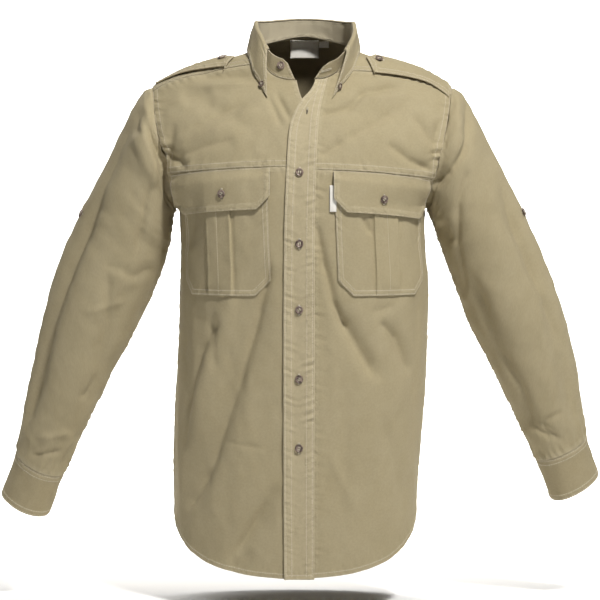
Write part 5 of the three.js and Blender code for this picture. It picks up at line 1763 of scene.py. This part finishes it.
def add_button(node, master, point, normal, radius=BUTTON_RADIUS, turn=0.0):
    """A button that stands a little off its cloth, with the thread through its holes."""
    up = Vector(unit(np.asarray(normal, float)))
    scale = radius / BUTTON_RADIUS
    spot = Vector(np.asarray(point, float) / 1000) + up * BUTTON_LIFT / 1000
    place = Matrix.Translation(spot) @ up.to_track_quat("Z", "Y").to_matrix().to_4x4()
    place = place @ Matrix.Rotation(turn, 4, "Z") @ Matrix.Diagonal((scale, scale, scale, 1))
    mesh = master.copy()
    mesh.name = node + "_horn"
    mesh.transform(place)
    mesh.materials.clear()
    mesh.materials.append(finish("Horn button"))
    mesh.shade_smooth()
    piece = bpy.data.objects.new(node + "_horn", mesh)
    bpy.context.collection.objects.link(piece)
    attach(piece, "root")
    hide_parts(node)
    thread = Thread()
    top = BUTTON_THICKNESS * BUTTON_DISH + 0.05
    hole = BUTTON_RADIUS * HOLE_FROM_MIDDLE
    for x in (-hole, hole):
        for shift in (-0.32, 0.0, 0.32):
            centre = np.array(place @ (Vector((x + shift, 0, top + 0.12)) / 1000)) * 1000
            way = np.array(place.to_3x3() @ Vector((0, 1, 0)))
            thread.stitch(centre, unit(way), np.array(up), (2 * hole + 1.6) * scale, 0.3)
    for shift in (-0.7, -0.2, 0.3, 0.8):
        centre = np.array(place @ (Vector((shift, 0.2 * shift, -0.1)) / 1000)) * 1000
        side = unit(np.array(place.to_3x3() @ Vector((1, 0, 0))))
        thread.stitch(centre, np.array(up), side, 1.5, 0.45)
    sewing = thread.piece(node + "_thread", finish("Sewing thread"))
    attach(sewing, "root")
    return piece


def add_buttons():
    master = button_master()
    for number, z in enumerate(PLACKET_BUTTONS):
        point, normal = front_spot(PANELS["placket"], PLACKET_BUTTON_X, z)
        add_button(f"placket_button_{number + 1}", master, point, normal, turn=0.3 * number)
    leaf_panel = PANELS["collar_leaf"]
    for name, share in zip(("left", "right"), LEAF_BUTTONS):
        place = leaf_panel.nearest(leaf_point(share, LEAF_BUTTON_DOWN))
        point, normal = leaf_panel.outer[place], leaf_panel.normal[place]
        add_button("collar_button_" + name, master, point, normal, SMALL_BUTTON_RADIUS)
    stand_panel = PANELS["collar_stand"]
    place = stand_panel.nearest(np.array(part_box("stand_button")).mean(axis=0) * 1000)
    add_button("stand_button", master, stand_panel.outer[place], stand_panel.normal[place], turn=0.5)
    for name in ("left", "right"):
        point, normal = front_spot(PANELS["pocket_flap_" + name], *FLAP_BUTTONS[name])
        add_button("flap_button_" + name, master, point, normal, turn=0.9)
        point, normal, _ = strap_spot(name)
        add_button("strap_button_" + name, master, point, normal, turn=0.2)
        point, normal = sleeve_spot(name, *SLEEVE_BUTTON)
        add_button("sleeve_button_" + name, master, point, normal, turn=0.6)
        point, normal, _ = cuff_spot(PANELS["cuff_" + name])
        add_button("cuff_button_" + name, master, point, normal, turn=0.1)
    bpy.data.meshes.remove(master)


# Stage, in metres
FLOOR_BELOW_HEM = 0.04
LAMP_COLOUR = (1.0, 0.985, 0.96)


def floor_group():
    """Plain pale studio paper."""
    inputs = [("Paper", "NodeSocketColor", (0.86, 0.86, 0.86, 1))]
    tree, given, result, place = object_group("Studio paper", inputs, rough=False)
    cloud = spots(tree, -650, 0, place, 3, 2.0)
    colour = part_mixed(tree, -200, 200, cloud, 0.04, given.outputs["Paper"], (0.8, 0.8, 0.8))
    put_out(tree, result, Colour=colour, Normal=bumped(tree, 200, -300, cloud, 0.02, 0.0005))
    return tree


def add_stage():
    stage = bpy.context.scene.field_shirt_stage
    low = float(SIZE_BEFORE[0][2]) - FLOOR_BELOW_HEM
    width, bend_at, radius = 14.0, 3.0, 2.5
    path = [(-6.0, 0.0), (bend_at, 0.0)]
    turns = np.radians(np.arange(8, 60, 7))
    path += [(bend_at + radius * math.sin(a), radius - radius * math.cos(a)) for a in turns]
    vertices = [(x * 1000, y * 1000, (low + z) * 1000) for y, z in path for x in (-width / 2, width / 2)]
    faces = [(2 * k, 2 * k + 1, 2 * k + 3, 2 * k + 2) for k in range(len(path) - 1)]
    paper = shaded("Studio paper", floor_group(), {"Paper": (*stage.paper, 1)}, roughness=0.9)
    sweep = mesh_object("studio_sweep", vertices, faces, [paper])
    world = bpy.data.worlds.new("Studio light")
    bpy.context.scene.world = world
    world.use_nodes = True
    tree = world.node_tree
    background = tree.nodes["Background"]
    background.inputs["Color"].default_value = (1.0, 0.99, 0.97, 1)
    background.inputs["Strength"].default_value = stage.fill
    behind = add_node(tree, "ShaderNodeBackground", -200, -200, {"Color": (*stage.paper, 1), "Strength": 1.0})
    rays = add_node(tree, "ShaderNodeLightPath", -200, 400)
    seen = add_node(tree, "ShaderNodeMixShader", 100, 200)
    tree.links.new(rays.outputs["Is Camera Ray"], seen.inputs[0])
    tree.links.new(background.outputs[0], seen.inputs[1])
    tree.links.new(behind.outputs[0], seen.inputs[2])
    tree.links.new(seen.outputs[0], tree.nodes["World Output"].inputs["Surface"])
    middle, backdrop = (0, 0, -0.3), (0, 5.5, 0.2)
    for name, place, target, size, power in (
        ("Key light", (1.0, -1.9, 2.4), middle, 0.5, stage.key),
        ("Side light", (-2.6, -1.8, 0.6), middle, 1.6, stage.side),
        ("Top light", (0.2, 0.6, 2.4), middle, 1.4, stage.top),
        ("Back light", (-1.4, 2.6, 1.6), middle, 1.2, stage.back),
        ("Backdrop light", (0, 1.6, 2.6), backdrop, 3.0, stage.backdrop),
    ):
        data = bpy.data.lights.new(name, "AREA")
        data.size, data.energy, data.color = size, power, LAMP_COLOUR
        lamp = bpy.data.objects.new(name, data)
        lamp.location = place
        lamp.rotation_euler = (Vector(target) - Vector(place)).to_track_quat("-Z", "Y").to_euler()
        bpy.context.collection.objects.link(lamp)
    data = bpy.data.cameras.new("Camera")
    data.sensor_width, data.lens = 36, 36 * stage.distance / stage.frame_width
    data.clip_end = 100
    camera = bpy.data.objects.new("Camera", data)
    rise = math.radians(stage.elevation)
    aim = Vector((0, 0, -0.35))
    camera.location = aim + stage.distance * Vector((0, -math.cos(rise), math.sin(rise)))
    camera.rotation_euler = (aim - camera.location).to_track_quat("-Z", "Y").to_euler()
    bpy.context.collection.objects.link(camera)
    bpy.context.scene.camera = camera
    bpy.context.scene.view_settings.view_transform = "Standard"


# Settings
def colour_setting(name, description, default):
    return bpy.props.FloatVectorProperty(
        name=name, description=description, default=default, size=3, min=0, max=1, subtype="COLOR"
    )


def length_setting(name, description, default):
    return bpy.props.FloatProperty(
        name=name, description=description, default=default, min=0.3, max=12, unit="LENGTH",
        subtype="DISTANCE",
    )


def power_setting(name, description, default):
    return bpy.props.FloatProperty(
        name=name, description=description, default=default, min=0, unit="POWER", subtype="NONE"
    )


class FieldShirtSettings(bpy.types.PropertyGroup):
    cloth: colour_setting("Cloth", "Colour of the twill where it isn't rubbed", (0.4, 0.337, 0.203))
    placket_cloth: colour_setting("Placket cloth", "Colour of the placket's twill", (0.465, 0.395, 0.25))
    collar_cloth: colour_setting("Collar cloth", "Colour of the collar's twill", (0.4, 0.337, 0.205))
    cuff_cloth: colour_setting("Cuff cloth", "Colour of the cuffs' twill", (0.35, 0.292, 0.172))
    # The colour of rubbed wear, also used on the inner face of the collar and cuffs as painted light.
    rubbed: colour_setting("Rubbed cloth", "Colour where washing has rubbed it pale", (0.6, 0.53, 0.38))
    # The inner face's colour, darker than the cloth: painted shade inside the shirt.
    reverse: colour_setting("Reverse of the cloth", "Colour of the cloth's inner face", (0.33, 0.275, 0.17))
    thread: colour_setting("Thread", "Colour of the sewing thread", (0.74, 0.68, 0.53))
    tape: colour_setting("Label tape", "Colour of the labels", (0.9, 0.88, 0.82))
    horn_pale: colour_setting("Pale horn", "The buttons' pale clouds", (0.36, 0.28, 0.23))
    horn_dark: colour_setting("Dark horn", "The buttons' dark clouds", (0.05, 0.035, 0.03))
    rubbing: bpy.props.FloatProperty(
        name="Rubbing", description="How much the sewn edges are rubbed pale", default=0.6, min=0, max=1,
        subtype="FACTOR",
    )
    twill_spacing: bpy.props.FloatProperty(
        name="Twill spacing", description="Distance between the twill's slanted ridges", default=0.00062,
        min=0.0003, max=0.003, unit="LENGTH", subtype="DISTANCE", precision=5,
    )


class FieldShirtStageSettings(bpy.types.PropertyGroup):
    paper: colour_setting("Paper", "Colour of the floor and backdrop", (0.9, 0.9, 0.9))
    distance: length_setting("Camera distance", "From the camera to the shirt's middle", 6.0)
    frame_width: length_setting("Frame width", "What the picture covers at the shirt's middle", 0.858)
    elevation: bpy.props.FloatProperty(
        name="Camera height", description="How far the camera looks down, in degrees", default=2.5, min=-30,
        max=60,
    )
    fill: bpy.props.FloatProperty(
        name="Fill", description="Strength of the light from all round", default=0.055, min=0
    )
    key: power_setting("Key light", "Power of the main light in watts", 124)
    side: power_setting("Side light", "Power of the side light in watts", 2.5)
    top: power_setting("Top light", "Power of the top light in watts", 5.5)
    back: power_setting("Back light", "Power of the light behind in watts", 34)
    backdrop: power_setting("Backdrop light", "Power of the light on the backdrop in watts", 560)


# Operators
class FIELDSHIRT_OT_lower_fronts(bpy.types.Operator):
    """Adds the two fronts below the chest seam"""

    bl_idname = "field_shirt.lower_fronts"
    bl_label = "Lower fronts"
    bl_options = {"REGISTER", "UNDO"}

    def execute(self, context):
        add_lower_fronts()
        return {"FINISHED"}


class FIELDSHIRT_OT_upper_fronts(bpy.types.Operator):
    """Adds the two fronts above the chest seam"""

    bl_idname = "field_shirt.upper_fronts"
    bl_label = "Upper fronts"
    bl_options = {"REGISTER", "UNDO"}

    def execute(self, context):
        add_upper_fronts()
        return {"FINISHED"}


class FIELDSHIRT_OT_back_and_yoke(bpy.types.Operator):
    """Adds the back and the shoulder yoke"""

    bl_idname = "field_shirt.back_and_yoke"
    bl_label = "Back and yoke"
    bl_options = {"REGISTER", "UNDO"}

    def execute(self, context):
        add_back_and_yoke()
        return {"FINISHED"}


class FIELDSHIRT_OT_placket(bpy.types.Operator):
    """Adds the button placket with its buttonholes"""

    bl_idname = "field_shirt.placket"
    bl_label = "Placket"
    bl_options = {"REGISTER", "UNDO"}

    def execute(self, context):
        add_placket()
        return {"FINISHED"}


class FIELDSHIRT_OT_pockets(bpy.types.Operator):
    """Adds the two pleated chest pockets"""

    bl_idname = "field_shirt.pockets"
    bl_label = "Pockets"
    bl_options = {"REGISTER", "UNDO"}

    def execute(self, context):
        add_pockets()
        return {"FINISHED"}


class FIELDSHIRT_OT_pocket_flaps(bpy.types.Operator):
    """Adds the flaps over the pockets"""

    bl_idname = "field_shirt.pocket_flaps"
    bl_label = "Pocket flaps"
    bl_options = {"REGISTER", "UNDO"}

    def execute(self, context):
        add_pocket_flaps()
        return {"FINISHED"}


class FIELDSHIRT_OT_sleeves(bpy.types.Operator):
    """Adds both sleeves"""

    bl_idname = "field_shirt.sleeves"
    bl_label = "Sleeves"
    bl_options = {"REGISTER", "UNDO"}

    def execute(self, context):
        add_sleeves()
        return {"FINISHED"}


class FIELDSHIRT_OT_cuffs(bpy.types.Operator):
    """Adds both cuffs"""

    bl_idname = "field_shirt.cuffs"
    bl_label = "Cuffs"
    bl_options = {"REGISTER", "UNDO"}

    def execute(self, context):
        add_cuffs()
        return {"FINISHED"}


class FIELDSHIRT_OT_shoulder_straps(bpy.types.Operator):
    """Adds the straps on the shoulders"""

    bl_idname = "field_shirt.shoulder_straps"
    bl_label = "Shoulder straps"
    bl_options = {"REGISTER", "UNDO"}

    def execute(self, context):
        add_straps()
        return {"FINISHED"}


class FIELDSHIRT_OT_collar(bpy.types.Operator):
    """Adds the collar's stand and leaf"""

    bl_idname = "field_shirt.collar"
    bl_label = "Collar"
    bl_options = {"REGISTER", "UNDO"}

    def execute(self, context):
        add_collar()
        return {"FINISHED"}


class FIELDSHIRT_OT_labels(bpy.types.Operator):
    """Adds the bare neck label, size tab and pocket tag"""

    bl_idname = "field_shirt.labels"
    bl_label = "Labels"
    bl_options = {"REGISTER", "UNDO"}

    def execute(self, context):
        add_labels()
        return {"FINISHED"}


class FIELDSHIRT_OT_buttons(bpy.types.Operator):
    """Adds every button with its thread"""

    bl_idname = "field_shirt.buttons"
    bl_label = "Buttons"
    bl_options = {"REGISTER", "UNDO"}

    def execute(self, context):
        add_buttons()
        return {"FINISHED"}


class FIELDSHIRT_OT_stage(bpy.types.Operator):
    """Adds the floor, lights and camera"""

    bl_idname = "field_shirt.stage"
    bl_label = "Stage"
    bl_options = {"REGISTER", "UNDO"}

    def execute(self, context):
        add_stage()
        return {"FINISHED"}


OPERATORS = [
    FIELDSHIRT_OT_lower_fronts,
    FIELDSHIRT_OT_upper_fronts,
    FIELDSHIRT_OT_back_and_yoke,
    FIELDSHIRT_OT_placket,
    FIELDSHIRT_OT_pockets,
    FIELDSHIRT_OT_pocket_flaps,
    FIELDSHIRT_OT_sleeves,
    FIELDSHIRT_OT_cuffs,
    FIELDSHIRT_OT_shoulder_straps,
    FIELDSHIRT_OT_collar,
    FIELDSHIRT_OT_labels,
    FIELDSHIRT_OT_buttons,
    FIELDSHIRT_OT_stage,
]


class FIELDSHIRT_PT_panel(bpy.types.Panel):
    """Lists the shirt's settings and operators"""

    bl_label = "Field shirt"
    bl_space_type = "VIEW_3D"
    bl_region_type = "UI"
    bl_category = "Field shirt"

    def draw(self, context):
        for settings in (context.scene.field_shirt, context.scene.field_shirt_stage):
            for key in settings.__annotations__:
                self.layout.prop(settings, key)
        for kind in OPERATORS:
            self.layout.operator(kind.bl_idname)


CLASSES = [FieldShirtSettings, FieldShirtStageSettings, *OPERATORS, FIELDSHIRT_PT_panel]


def register():
    for kind in CLASSES:
        bpy.utils.register_class(kind)
    bpy.types.Scene.field_shirt = bpy.props.PointerProperty(type=FieldShirtSettings)
    bpy.types.Scene.field_shirt_stage = bpy.props.PointerProperty(type=FieldShirtStageSettings)


def unregister():
    del bpy.types.Scene.field_shirt_stage
    del bpy.types.Scene.field_shirt
    for kind in reversed(CLASSES):
        bpy.utils.unregister_class(kind)


def main():
    register()
    for kind in OPERATORS:
        getattr(bpy.ops.field_shirt, kind.bl_idname.split(".")[1])()


if __name__ == "__main__":
    main()
